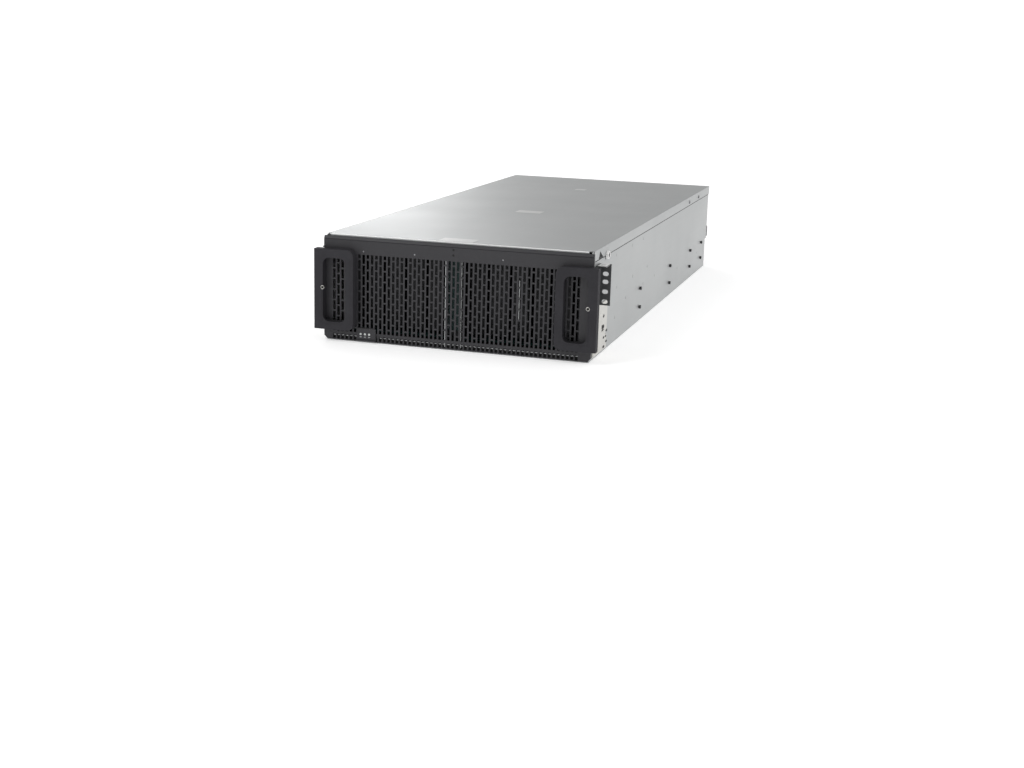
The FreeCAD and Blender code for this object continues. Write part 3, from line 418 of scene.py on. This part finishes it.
# Black discs on the plate's two holes: painted shade.
HOLE_SHADES, HOLE_SHADE_HEAD = ((-3.5, 154.4), (-3.5, 163)), [(1.8, -0.5), (1.8, 0.05), (1.4, 0.1), (0, 0.1)]
FOOT_END, FOOT_GAP = 212, 2
# Each strip's name, its near and far distances behind the plate, its foot and top, and its finish.
# The black strip is painted shade behind the holes at the foot.
FOOT_STRIPS = (("pan_edge", 3.0, 4.2, 8.2, 9.6, "zinc_sheet"),
               ("shade_strip", 4.4, 5.2, 1.6, 15.6, "shadow_black"))


def build_plate_studs():
    """Flush studs in the plate, black discs of painted shade on its two holes, and the strips behind the
    holes at its foot: a zinc pan edge, and a black strip of painted shade.
    """
    turned("plate_studs", STUD_HEAD, [(x, FACE, z) for x, z in STUDS], "-y", "chassis", "screw_steel", 16)
    turned("plate_hole_shades", HOLE_SHADE_HEAD, [(x, FACE, z) for x, z in HOLE_SHADES], "-y", "chassis", "shadow_black", 16)
    for word, start, end in (("left", -FOOT_END, PANEL_LOW.x - FOOT_GAP),
                             ("right", PANEL_HIGH.x + FOOT_GAP, FOOT_END)):
        for name, near, far, low, high, slot in FOOT_STRIPS:
            block(f"{name}_{word}", (start, FACE + near, low), (end, FACE + far, high), "chassis", slot)


LAMPS, LAMP_LEVEL = (-160.6, -153.2, -145.8), 14.2
LAMP_HEAD = [(1.9, -0.5), (1.9, 0.1), (1.3, 0.5), (0, 0.6)]
BEZEL_SIDE, BEZEL_PROUD = 1.5, 2.0
# Each step of the bezel: how far it stands out, its foot and its top.
BEZEL_STEPS = ((BEZEL_PROUD, PANEL_LOW.z + 2.5, PANEL_CLEAR - 0.8), (1.2, PANEL_LOW.z, PANEL_LOW.z + 3),
               (3.4, PANEL_LOW.z - 1.2, PANEL_LOW.z + 1))
BAR_HALF, BAR_LOW, BAR_HIGH, BAR_SKIN = 1.6, 9.0, 10.0, 0.1


def build_indicators():
    """A smooth bezel with a ledge and a lip below, three round lamps on it and a plain bar under each."""
    bezel, bars = bmesh.new(), bmesh.new()
    left, right = PANEL_LOW.x - BEZEL_SIDE, PANEL_HIGH.x + BEZEL_SIDE
    for proud, low, high in BEZEL_STEPS:
        add_block(bezel, (left, FACE - proud, low), (right, FACE, high))
    rounded(finished(bezel, "indicator_bezel", "chassis", "black_paint", ["indicator_panel"]), 0.3)
    front = FACE - BEZEL_PROUD
    for x in LAMPS:
        add_block(bars, (x - BAR_HALF, front - BAR_SKIN, BAR_LOW),
                  (x + BAR_HALF, front + BAR_SKIN, BAR_HIGH))
    turned("indicator_lamps", LAMP_HEAD, [(x, front, LAMP_LEVEL) for x in LAMPS], "-y", "chassis",
           "lens_pale", replaced=["indicator_lenses"])
    finished(bars, "indicator_bars", "chassis", "module_metal")


CHANNEL_LEFT, CHANNEL_RIGHT, CHANNEL_EDGE = 2.0, 4.6, 1.2
POST_LEFT, POST_EDGE, BACK_SHEET = 2.2, 1.0, 1.2


def build_channel():
    """The cable channel's pale edges behind the slots, the post beside it, and their backs in near black,
    painted shade of the dark inside.
    """
    low, high = corners("front_channel")
    left, right = low.x + CHANNEL_LEFT, high.x + CHANNEL_RIGHT
    for word, x in (("left", left), ("right", right)):
        block(f"channel_edge_{word}", (x, low.y, low.z), (x + CHANNEL_EDGE, high.y, high.z), "chassis",
              "zinc_sheet")
    block("channel_back", (left, high.y - BACK_SHEET, low.z), (right + CHANNEL_EDGE, high.y, high.z),
          "chassis", "drive_metal", ["front_channel"])
    low, high = corners("front_post")
    left = low.x + POST_LEFT
    block("post_edge", (left, low.y, low.z), (left + POST_EDGE, high.y, high.z), "chassis", "zinc_sheet")
    block("post_back", (left, high.y - BACK_SHEET, low.z), high, "chassis", "drive_metal", ["front_post"])


# ---------------------------------------------------------------- handles
HANDLE_SCREW_IN, HANDLE_SCREW_UP = 14.6, 3.0
COLLAR = [(3.1, -0.4), (3.1, 0.35), (2.7, 0.6), (2.3, 0.35), (2.3, -0.2)]
HANDLE_SCREW = [(2.1, -0.4), (2.1, 0.2), (1.7, 0.5), (0.9, 0.6), (0.9, 0.1), (0, 0.1)]
BEAD_OUT, BEAD_IN, BEAD_END, BEAD_LOW, BEAD_WIDE, BEAD_TOP = 12.4, 13.2, 52.0, 10.0, 0.8, 5.0
BEAD_PROUD, BEAD_SUNK = 0.25, 0.5
GRIP_WALL_IN, GRIP_WALL_OUT, GRIP_WALL_NEAR, GRIP_WALL_LOW, GRIP_WALL_TOP = 15.0, 11.0, 2.0, 14.0, 15.0


def build_handles():
    """Rounded handles: a sunk screw whose near-black head is painted shade of its socket, a fine bead
    beside each window and the window's outer wall.
    """
    for side, word, _ in SIDES:
        softened(f"handle_{word}", 1.4, 4).data.shade_flat()
        low, high = corners(f"handle_{word}")
        outer = outer_face(f"handle_{word}", side)
        level = (low.z + high.z) / 2 + HANDLE_SCREW_UP
        spots = [(outer - side * HANDLE_SCREW_IN, low.y, level)]
        turned(f"screw_collar_{word}", COLLAR, spots, "-y", "chassis", "bright_zinc", 24)
        # The screw head is near black: painted shade of a deep socket.
        turned(f"handle_screw_shade_{word}", HANDLE_SCREW, spots, "-y", "chassis", "shadow_black", 24)
        corner = (outer - side * BEAD_IN, low.y - BEAD_PROUD, low.z + BEAD_LOW)
        bead = bmesh.new()
        add_block(bead, corner, (outer - side * BEAD_OUT, low.y + BEAD_SUNK, level - BEAD_TOP))
        add_block(bead, corner, (outer - side * BEAD_END, low.y + BEAD_SUNK, corner[2] + BEAD_WIDE))
        finished(bead, f"handle_bead_{word}", "chassis", "black_plastic")
        inner = (outer - side * GRIP_WALL_IN, low.y + GRIP_WALL_NEAR, low.z + GRIP_WALL_LOW)
        block(f"grip_wall_{word}", inner, (outer - side * GRIP_WALL_OUT, high.y, high.z - GRIP_WALL_TOP),
              "chassis", "black_plastic")


# ---------------------------------------------------------------- cover
TAB_AT, TAB_LEVEL = 96.0, COVER_HIGH.z - 16.5
TAB_RING = [(6.9, -0.2), (6.7, 2.4), (6.2, 3.8), (5.5, 4.3), (4.8, 3.9), (4.4, 2.6), (4.3, -0.2)]
TAB_SCREW = [(3.9, 0.2), (3.9, 3.4), (3.3, 3.9), (2.0, 3.9), (1.7, 3.0), (0, 3.0)]
# Each plate's left and right edges, and its distances behind the grille plate.
COVER_PLATES = (("front", -33.5, 24, 8, 45), ("middle", -28.5, 19.5, 415, 448), ("back", -24, -2, 835, 855))
PLATE_SUNK, PLATE_PROUD = 0.05, 0.25
FOLD_LEFT, FOLD_RIGHT, FOLD_PROUD, FOLD_DEEP, FOLD_TALL = 6.0, 8.0, 0.15, 0.7, 1.0


def build_cover_details():
    """A near-white strip on the front fold as painted highlight, bare pale plates, and at each front tab a
    raised ring, near white as painted highlight, round a near-black screw that also stands for the ring's
    dark hole as painted shade.
    """
    softened("top_cover", 0.45, 3)
    # A near-white strip along the front fold: painted highlight.
    block("cover_fold", (COVER_LOW.x + FOLD_LEFT, COVER_LOW.y - FOLD_PROUD, COVER_HIGH.z - FOLD_TALL),
          (COVER_HIGH.x - FOLD_RIGHT, COVER_LOW.y + FOLD_DEEP, COVER_HIGH.z + FOLD_PROUD), "cover",
          "painted_highlight_white")
    for word, left, right, near, far in COVER_PLATES:
        low = (left, FACE + near, COVER_HIGH.z - PLATE_SUNK)
        high = (right, FACE + far, COVER_HIGH.z + PLATE_PROUD)
        rounded(block(f"cover_plate_{word}", low, high, "cover", "pale_film"), 0.1, 1)
    for side, word, way in SIDES:
        spots = [(outer_face("top_cover", side), FACE + TAB_AT, TAB_LEVEL)]
        # The ring's near white is painted highlight.
        turned(f"tab_ring_highlight_{word}", TAB_RING, spots, way, "cover", "painted_highlight_white", 32)
        # A screw head whose near black also stands for the dark hole in the ring: painted shade.
        turned(f"tab_screw_shade_{word}", TAB_SCREW, spots, way, "cover", "stud_black", 24)


def shells(node):
    """The lowest and highest corners of each loose part of a node."""
    mesh = bmesh.new()
    mesh.from_mesh(NODES[node].data)
    bmesh.ops.remove_doubles(mesh, verts=mesh.verts, dist=MERGE)
    left, found = set(mesh.verts), []
    for start in mesh.verts:
        if start not in left:
            continue
        left.discard(start)
        group, rim = [], [start]
        while rim:
            vert = rim.pop()
            group.append(vert)
            for link in vert.link_edges:
                other = link.other_vert(vert)
                if other in left:
                    left.discard(other)
                    rim.append(other)
        spots = [vert.co / MM for vert in group]
        found.append((Vector(map(min, zip(*spots))), Vector(map(max, zip(*spots)))))
    mesh.free()
    return found


SCREW_HEAD = [(3.4, -1.6), (3.4, -0.7), (3.0, -0.2), (2.2, 0.0), (1.7, 0.0), (1.5, -0.9), (0, -0.9)]
SHANK_RADIUS, SHANK_SHORT = 1.9, 1.5


def build_cover_screws():
    """Low round heads with a deep socket, each on its shank, in place of the plain ones."""
    mesh = bmesh.new()
    for low, high in shells("cover_screws"):
        outer, inner, way = (high.x, low.x, "+x") if high.x > 0 else (low.x, high.x, "-x")
        along, level = (low.y + high.y) / 2, (low.z + high.z) / 2
        shank = [(0, 0), (SHANK_RADIUS, 0), (SHANK_RADIUS, abs(outer - inner) - SHANK_SHORT)]
        add_turned(mesh, SCREW_HEAD, (outer, along, level), way, 24)
        add_turned(mesh, shank, (inner, along, level), way, 16)
    finished(mesh, "cover_screws_socketed", BODY_OF["cover_screws"], "screw_steel", ["cover_screws"], True)


# ---------------------------------------------------------------- walls, ears and brackets
RAIL_STUD = [(2.4, -1.0), (2.4, 1.4), (3.3, 1.5), (3.3, 3.3), (2.7, 3.9), (1.5, 3.9), (1.3, 3.0), (0, 3.0)]
RAIL_HOLES = [(along, level) for along in (370, 647, 867, 998) for level in (25.8, 59.5)]
RIVET = [(2.6, -0.2), (2.6, 0.15), (2.1, 0.4), (0, 0.5)]
RIVETS = ((171.7, 147.0), (180.2, 91.8), (177.4, 41.5), (256.1, 61.7), (293.4, 147.1), (305.4, 91.4),
          (382.8, 146.6), (399.7, 62.1), (429.7, 90.3), (499.5, 63.2), (733.6, 41.5), (956.5, 42.1))


def build_wall_studs(side, word, way):
    """Flat rivets and rail studs on a wall."""
    outer = outer_face(f"side_wall_{word}", side)
    for name, profile, marks, slot, steps in (("wall_rivets", RIVET, RIVETS, "zinc_sheet", 16),
                                              ("rail_studs", RAIL_STUD, RAIL_HOLES, "stud_black", 24)):
        spots = [(outer, FACE + along, level) for along, level in marks]
        turned(f"{name}_{word}", profile, spots, way, "chassis", slot, steps)


# Each mark's distance behind the plate, its height and its radius.
BRACKET_MARKS = ((86.9, 60.0, 1.9), (84.9, 42.5, 3.2), (110.9, 32.6, 2.1), (91.9, 23.9, 1.9),
                 (105.9, 23.6, 1.7), (110.9, 14.3, 2.0), (92.9, 8.3, 2.3))
MARK_SUNK, MARK_PROUD, MARK_STRETCH = 0.2, 0.15, 2.6


def build_bracket_hole_shades(side, word, way):
    """Black ovals of painted shade on the side bracket, where its holes show dark: round ones, stretched
    along y.
    """
    face = outer_face(f"side_bracket_{word}", side)
    hole_shades = bmesh.new()
    for along, level, radius in BRACKET_MARKS:
        spot = (face, (FACE + along) / MARK_STRETCH, level)
        add_turned(hole_shades, [(radius, -MARK_SUNK), (radius, MARK_PROUD), (0, MARK_PROUD)], spot, way)
    bmesh.ops.scale(hole_shades, vec=(1, MARK_STRETCH, 1), verts=hole_shades.verts)
    finished(hole_shades, f"bracket_hole_shades_{word}", "chassis", "shadow_black", smooth=True)


EAR_HIGHLIGHT_IN, EAR_HIGHLIGHT_OUT, EAR_HIGHLIGHT_NEAR, EAR_HIGHLIGHT_FAR, EAR_HIGHLIGHT_SUNK, EAR_HIGHLIGHT_PROUD = 3.0, 2.5, 1.0, 0.5, 0.1, 0.3
SKIRT_LOW, SKIRT_TOP, SKIRT_SHEET = 4.0, 1.0, 0.8


def build_ear(side, word):
    """A rounded ear in darkened zinc as painted shade, with a near-white strip on its top edge as painted
    highlight, the skirt before it and the bright bracket under it.
    """
    wall = outer_face(f"side_wall_{word}", side)
    low, high = corners(f"rack_ear_{word}")
    tip = outer_face(f"rack_ear_{word}", side)
    # A near-white strip on the ear's top edge: painted highlight.
    block(f"ear_edge_highlight_{word}", (wall + side * EAR_HIGHLIGHT_IN, low.y + EAR_HIGHLIGHT_NEAR, high.z - EAR_HIGHLIGHT_SUNK),
          (tip - side * EAR_HIGHLIGHT_OUT, high.y - EAR_HIGHLIGHT_FAR, high.z + EAR_HIGHLIGHT_PROUD), "chassis", "painted_highlight_white")
    # The ear takes its zinc darkened: painted shade.
    softened(f"rack_ear_{word}", 0.5).data.materials[0] = FINISHES["shaded_ear_zinc"]
    handle_low, handle_high = corners(f"handle_{word}")
    skirt_end = min(low.y, corners(f"side_bracket_{word}")[0].y)
    block(f"handle_skirt_{word}", (wall, handle_high.y, handle_low.z + SKIRT_LOW),
          (wall + side * SKIRT_SHEET, skirt_end, high.z - SKIRT_TOP), "chassis", "black_plastic")
    softened(f"side_bracket_{word}", 0.5).data.materials[0] = FINISHES["bright_zinc"]


NOTCH_SHADE_NEAR, NOTCH_SHADE_FAR, NOTCH_SHADE_LOW, NOTCH_SHADE_HIGH, NOTCH_SHADE_SKIN = 37.0, 76.0, 0.5, 13.5, 0.4
SEAM_NEAR, SEAM_SHORT, SEAM_LOW, SEAM_HIGH, SEAM_SKIN = 3.0, 1.0, 1.7, 0.1, 0.3


def build_wall_shadows(side, word):
    """Black sheets of painted shade: one behind the cover's notch, standing for a dark opening there, and a
    strip for the shadow in the gap under its flange.
    """
    outer = outer_face(f"side_wall_{word}", side)
    end = corners(f"side_wall_{word}")[1].y - SEAM_SHORT
    # A black sheet behind the notch: painted shade of an opening.
    block(f"notch_shade_{word}", (outer, FACE + NOTCH_SHADE_NEAR, TAB_LEVEL + NOTCH_SHADE_LOW),
          (outer + side * NOTCH_SHADE_SKIN, FACE + NOTCH_SHADE_FAR, TAB_LEVEL + NOTCH_SHADE_HIGH), "chassis", "shadow_black")
    # A black strip under the flange: painted shadow of the gap.
    block(f"seam_shadow_{word}", (outer, FACE + SEAM_NEAR, TAB_LEVEL - SEAM_LOW),
          (outer + side * SEAM_SKIN, end, TAB_LEVEL - SEAM_HIGH), "chassis", "shadow_black")


def build_walls():
    for side, word, way in SIDES:
        build_wall_studs(side, word, way)
        build_bracket_hole_shades(side, word, way)
        build_ear(side, word)
        build_wall_shadows(side, word)


# ---------------------------------------------------------------- modules at the back
BLADES, BLADE_ROWS, BLADE_COLUMNS, BLADE_SHEET = 7, 8, 6, 1.4
ROOT, TIP = 18.0, 43.8
ROOT_CHORD, CHORD_GAIN, CAMBER = 20.0, 6.0, 2.4
ROOT_LEAN, LEAN_LOSS, TIP_SWEEP = 48.0, 20.0, 14.0
# The hub's rim: its radii, and how far each lies below the hub's end.
HUB_RIM = ((19.0, 3.0), (18.6, 1.6), (16.5, 0.0), (0.0, 0.0))


def add_blade(mesh, turn, middle):
    """One swept blade: a grid leaned more at its root than at its tip, with a hollow face."""
    made = bmesh.ops.create_grid(mesh, x_segments=BLADE_COLUMNS, y_segments=BLADE_ROWS, size=0.5)["verts"]
    for vert in made:
        out, across = vert.co.y + 0.5, vert.co.x
        radius = ROOT + (TIP - ROOT) * out
        chord = across * (ROOT_CHORD + CHORD_GAIN * out)
        lean = math.radians(ROOT_LEAN - LEAN_LOSS * out)
        along = chord * math.sin(lean) + CAMBER * (1 - 4 * across * across)
        around = chord * math.cos(lean) / radius + math.radians(TIP_SWEEP * out * out)
        x = middle.x + radius * math.sin(turn + around)
        z = middle.z + radius * math.cos(turn + around)
        vert.co = Vector((x, middle.y + along, z)) * MM


def build_rotor(number):
    """Rounded hub with swept blades."""
    low, high = corners(f"fan_rotor_{number}")
    middle, half, body = (low + high) / 2, (high.y - low.y) / 2, f"rotor_{number}"
    blades = bmesh.new()
    for step in range(BLADES):
        add_blade(blades, 2 * math.pi * step / BLADES, middle)
    piece = finished(blades, f"rotor_blades_{number}", body, "dark_plastic", [f"fan_rotor_{number}"], True)
    thickened(piece, BLADE_SHEET)
    rim = [(radius, half - below) for radius, below in HUB_RIM]
    profile = [(radius, -height) for radius, height in reversed(rim)] + rim
    turned(f"rotor_hub_{number}", profile, [middle], "+y", body, "dark_plastic", 48)


CAP_IN = 14.0
CAP = [(14.8, -1), (14.8, 0.5), (14, 1.2), (0, 1.2)]
CAP_DISC = [(11, 1), (11, 1.4), (0, 1.4)]
GRIP_THICK, GRIP_DEEP, GRIP_OUT, GRIP_SIDE, GRIP_LOW, GRIP_HIGH = 8.2, 9.0, 13.0, 0.4, 0.4, 24.0


def build_motor_cap(number):
    """Round cap over the motor mount, with a bare pale disc on it."""
    rotor_low, rotor_high = corners(f"fan_rotor_{number}")
    middle = (rotor_low + rotor_high) / 2
    spots = [(middle.x, corners(f"fan_module_{number}")[1].y - CAP_IN, middle.z)]
    turned(f"motor_cap_{number}", CAP, spots, "+y", f"fan_{number}", "black_plastic", 40)
    turned(f"motor_disc_{number}", CAP_DISC, spots, "+y", f"fan_{number}", "module_metal", 40)


def build_fan_grip(number):
    """A rounded grip over the end of the module's pull."""
    low, high = corners(f"fan_module_{number}")
    inner = (high.x - GRIP_THICK, high.y - GRIP_DEEP, low.z + GRIP_LOW)
    outer = (high.x + GRIP_SIDE, high.y + GRIP_OUT, low.z + GRIP_HIGH)
    rounded(block(f"fan_grip_{number}", inner, outer, f"fan_{number}", "black_plastic"), 2.0, 4)


def build_fans():
    for number in range(1, 5):
        build_rotor(number)
        build_motor_cap(number)
        build_fan_grip(number)


VENT_PITCH, VENT_RIB, VENT_SHEET, VENT_SKIN = 3.6, 0.55, 0.6, 0.1
VENT_FROM_PULL, VENT_FROM_INLET, VENT_EDGE = 12.0, 3.0, 6.0
SUPPLY_LAMP = [(1.6, -0.3), (1.6, 0.4), (1.1, 0.8), (0, 0.9)]
LAMP_IN, LAMP_DOWN = 8.0, 12.0


def perforated(name, low, high, body, slot):
    """A thin plate with a field of square holes, facing back."""
    columns, rows = round((high[0] - low[0]) / VENT_PITCH), round((high[2] - low[2]) / VENT_PITCH)
    mesh = bmesh.new()
    upright_grid(mesh, low, high, columns, rows)
    holes = mesh.faces[:]
    bmesh.ops.inset_individual(mesh, faces=holes, thickness=VENT_RIB * MM)
    bmesh.ops.delete(mesh, geom=holes, context="FACES")
    thickened(finished(mesh, name, body, slot), VENT_SHEET)


def build_power_supplies():
    """Rounded supplies with a perforated plate between pull and inlet, and a small lamp."""
    for _, word, _ in SIDES:
        body = f"psu_{word}"
        low, high = corners(body)
        softened(body, 0.5)
        softened(f"psu_pull_{word}", 1.2, 3)
        softened(f"psu_inlet_{word}", 0.6)
        softened(f"psu_release_{word}", 0.5)
        inlet = corners(f"psu_inlet_{word}")[0].x
        left, right = corners(f"psu_pull_{word}")[1].x + VENT_FROM_PULL, inlet - VENT_FROM_INLET
        bottom, top = low.z + VENT_EDGE, high.z - VENT_EDGE
        face = high.y + VENT_SKIN
        block(f"vent_shadow_{word}", (left, high.y - VENT_SKIN, bottom), (right, face, top), body,
              "dark_plastic")
        perforated(f"vent_plate_{word}", (left, face, bottom), (right, face, top), body, "module_metal")
        turned(f"supply_lamp_{word}", SUPPLY_LAMP, [(inlet + LAMP_IN, high.y, high.z - LAMP_DOWN)], "+y",
               body, "lens_pale")


PORT_LOW, PORT_WIDE, PORT_HIGH, PORT_PITCH, COLLAR_WIDE = 34.0, 30.0, 9.0, 43.4, 1.0
COLLAR_SUNK, COLLAR_PROUD = 0.5, 0.9
TONGUE_HALF, TONGUE_DEEP, TONGUE_NEAR, TONGUE_LOW, TONGUE_HIGH = 10.0, 12.0, 3.0, 3.8, 5.2
CONTROLLER_LAMP, CONTROLLER_LAMP_UP = [(1.4, -0.3), (1.4, 0.3), (0.9, 0.6), (0, 0.7)], 5.0


def add_port_collar(mesh, left, right, bottom, top):
    """Four strips round a port's opening."""
    out = COLLAR_WIDE
    for x0, z0, x1, z1 in ((left - out, bottom - out, right + out, bottom),
                           (left - out, top, right + out, top + out),
                           (left - out, bottom, left, top), (right, bottom, right + out, top)):
        add_block(mesh, (x0, MODULE_FACE - COLLAR_SUNK, z0), (x1, MODULE_FACE + COLLAR_PROUD, z1))


def build_controllers():
    """Folded collars round the ports, tongues inside them, and two small lamps."""
    for _, word, _ in SIDES:
        body = f"controller_{word}"
        low, high = corners(body)
        softened(f"controller_lever_{word}", 0.6)
        collars, tongues, lamps = bmesh.new(), bmesh.new(), []
        for side in (-1, 1):
            x = (low.x + high.x) / 2 + side * PORT_PITCH / 2
            bottom = low.z + PORT_LOW
            top = bottom + PORT_HIGH
            add_port_collar(collars, x - PORT_WIDE / 2, x + PORT_WIDE / 2, bottom, top)
            add_block(tongues, (x - TONGUE_HALF, MODULE_FACE - TONGUE_DEEP, bottom + TONGUE_LOW),
                      (x + TONGUE_HALF, MODULE_FACE - TONGUE_NEAR, bottom + TONGUE_HIGH))
            lamps.append((x, MODULE_FACE, top + CONTROLLER_LAMP_UP))
        rounded(finished(collars, f"port_collars_{word}", body, "module_metal"), 0.2, 1)
        finished(tongues, f"port_tongues_{word}", body, "dark_plastic")
        turned(f"controller_lamps_{word}", CONTROLLER_LAMP, lamps, "+y", body, "lens_pale")


# ---------------------------------------------------------------- drives and boards
DRIVE_ROWS = 5
CHIP_GROUPS, CHIP_FIRST, CHIP_PITCH = 9, 30.0, 46.0
# Each package of a group: its left and right edges, its foot and top below the board's top, its thickness.
CHIPS = ((0, 18, 26, 10, 2.2), (24, 32, 20, 14, 1.4))
STATUS_CHIPS, STATUS_FIRST, STATUS_PITCH = 5, 12.0, 24.0
STATUS_NEAR, STATUS_FAR, STATUS_TALL, STATUS_THICK = 4.0, 11.0, 9.0, 1.0


def build_inside():
    """Rounded drives, and packages on the boards."""
    for row in range(1, DRIVE_ROWS + 1):
        # The drives' near-black finish is painted shade of the dark inside.
        softened(f"drive_row_{row}", 0.9)
    low, high = corners("midplane_board")
    chips = bmesh.new()
    for step in range(CHIP_GROUPS):
        x = low.x + CHIP_FIRST + step * CHIP_PITCH
        for left, right, foot, top, thick in CHIPS:
            add_block(chips, (x + left, low.y - thick, high.z - foot), (x + right, low.y, high.z - top))
    rounded(finished(chips, "midplane_chips", "chassis", "dark_plastic"), 0.25, 1)
    low = corners("status_board")[0]
    chips = bmesh.new()
    for step in range(STATUS_CHIPS):
        z = low.z + STATUS_FIRST + step * STATUS_PITCH
        add_block(chips, (low.x - STATUS_THICK, low.y + STATUS_NEAR, z),
                  (low.x, low.y + STATUS_FAR, z + STATUS_TALL))
    rounded(finished(chips, "status_chips", "chassis", "dark_plastic"), 0.2, 1)


# ---------------------------------------------------------------- studio, in metres
CAMERA_PLACE = Vector((0.7570, -2.7419, 0.5201))
CAMERA_YAW, CAMERA_PITCH, CAMERA_ROLL = 0.2890, 0.2402, 0.0280
CAMERA_LENS, CAMERA_SENSOR = 52.30, 36
# Each lamp's place, the point that it faces, its size and its power in watts.
LIGHTS = {
    "key": ((-1.6, -2.4, 2.4), (0, -0.2, 0.1), (1.6, 1.6), 30),
    "top_left": ((-2.45, 3.35, 1.5), (-0.1, -0.1, 0.17), (2.2, 1.4), 32),
    "right": ((3.0, -0.2, 1.6), (0, 0.1, 0.1), (1.4, 1.4), 14),
}
SKY_WAY, SKY_REACH, SKY_DIM, SKY_BRIGHT = (0.85, 0.35, -0.10), 0.85, 0.36, 0.77
STAGE_HALF, BACKDROP_AT, BACKDROP_LEVEL = 60, 58, -57
FLOOR_GLOW, NEAR_GLOW, GLOW_START, GLOW_END = 0.56, 0.75, 2.0, 5.0


def set_camera():
    data = bpy.data.cameras.new("camera")
    data.sensor_width = CAMERA_SENSOR
    data.lens = CAMERA_LENS
    camera = bpy.data.objects.new("camera", data)
    bpy.context.scene.collection.objects.link(camera)
    turn = (Matrix.Rotation(CAMERA_YAW, 4, "Z") @ Matrix.Rotation(math.pi / 2 - CAMERA_PITCH, 4, "X")
            @ Matrix.Rotation(CAMERA_ROLL, 4, "Z"))
    camera.matrix_world = Matrix.Translation(CAMERA_PLACE) @ turn
    bpy.context.scene.camera = camera


def add_light(name, place, target, size, power):
    data = bpy.data.lights.new(name, "AREA")
    data.shape = "RECTANGLE"
    data.size, data.size_y = size
    data.energy = power
    light = bpy.data.objects.new(name, data)
    light.location = place
    light.rotation_euler = (Vector(target) - Vector(place)).to_track_quat("-Z", "Y").to_euler()
    bpy.context.scene.collection.objects.link(light)


def add_stage(name, placing, material):
    """A plain pale sheet of the studio."""
    mesh = bmesh.new()
    bmesh.ops.create_grid(mesh, x_segments=1, y_segments=1, size=STAGE_HALF, matrix=placing)
    data = bpy.data.meshes.new(name)
    mesh.to_mesh(data)
    mesh.free()
    sheet = bpy.data.objects.new(name, data)
    bpy.context.scene.collection.objects.link(sheet)
    data.materials.append(material)


def set_sky():
    """A soft white sky, brighter on the shelf's right and dimmer on its left."""
    world = bpy.data.worlds.new("studio")
    world.use_nodes = True
    sky = Graph(world.node_tree, "Background", "Generated")
    sky.shader.inputs["Color"].default_value = (1, 1, 1, 1)
    toward = sky.node("ShaderNodeVectorMath", {"operation": "DOT_PRODUCT"}, {0: sky.place, 1: SKY_WAY}, 1)
    sky.feed("Strength", sky.remap(toward, -SKY_REACH, SKY_REACH, SKY_DIM, SKY_BRIGHT))
    bpy.context.scene.world = world


def set_floor():
    """A pale floor that glows a little more away from the shelf, and a backdrop of the same."""
    finish = Finish("studio_floor", Metallic=0.0, Roughness=0.95, Emission_Strength=FLOOR_GLOW)
    reach = finish.node("ShaderNodeVectorMath", {"operation": "LENGTH"}, {0: finish.place}, 1)
    glow = finish.remap(reach, GLOW_START, GLOW_END, 0.0, 1.0)
    finish.feed("Emission Color", finish.blend(glow, (NEAR_GLOW,) * 3, (1.0,) * 3))
    shade = finish.noise(finish.place, 2.0)
    finish.feed("Base Color", finish.blend(shade, (0.92, 0.92, 0.92), (0.94, 0.94, 0.94)))
    upright = Matrix.Rotation(math.pi / 2, 4, "X")
    add_stage("floor", Matrix.Identity(4), finish.material)
    add_stage("backdrop", Matrix.Translation((0, BACKDROP_AT, BACKDROP_LEVEL)) @ upright, finish.material)


def set_studio():
    set_floor()
    set_sky()
    for name, values in LIGHTS.items():
        add_light(name, *values)
    bpy.context.scene.view_settings.view_transform = "Standard"


dress_cad_nodes()
build_grille_face()
build_plate_studs()
build_indicators()
build_channel()
build_handles()
build_cover_details()
build_cover_screws()
build_walls()
build_power_supplies()
build_controllers()
build_fans()
build_inside()
set_camera()
set_studio()
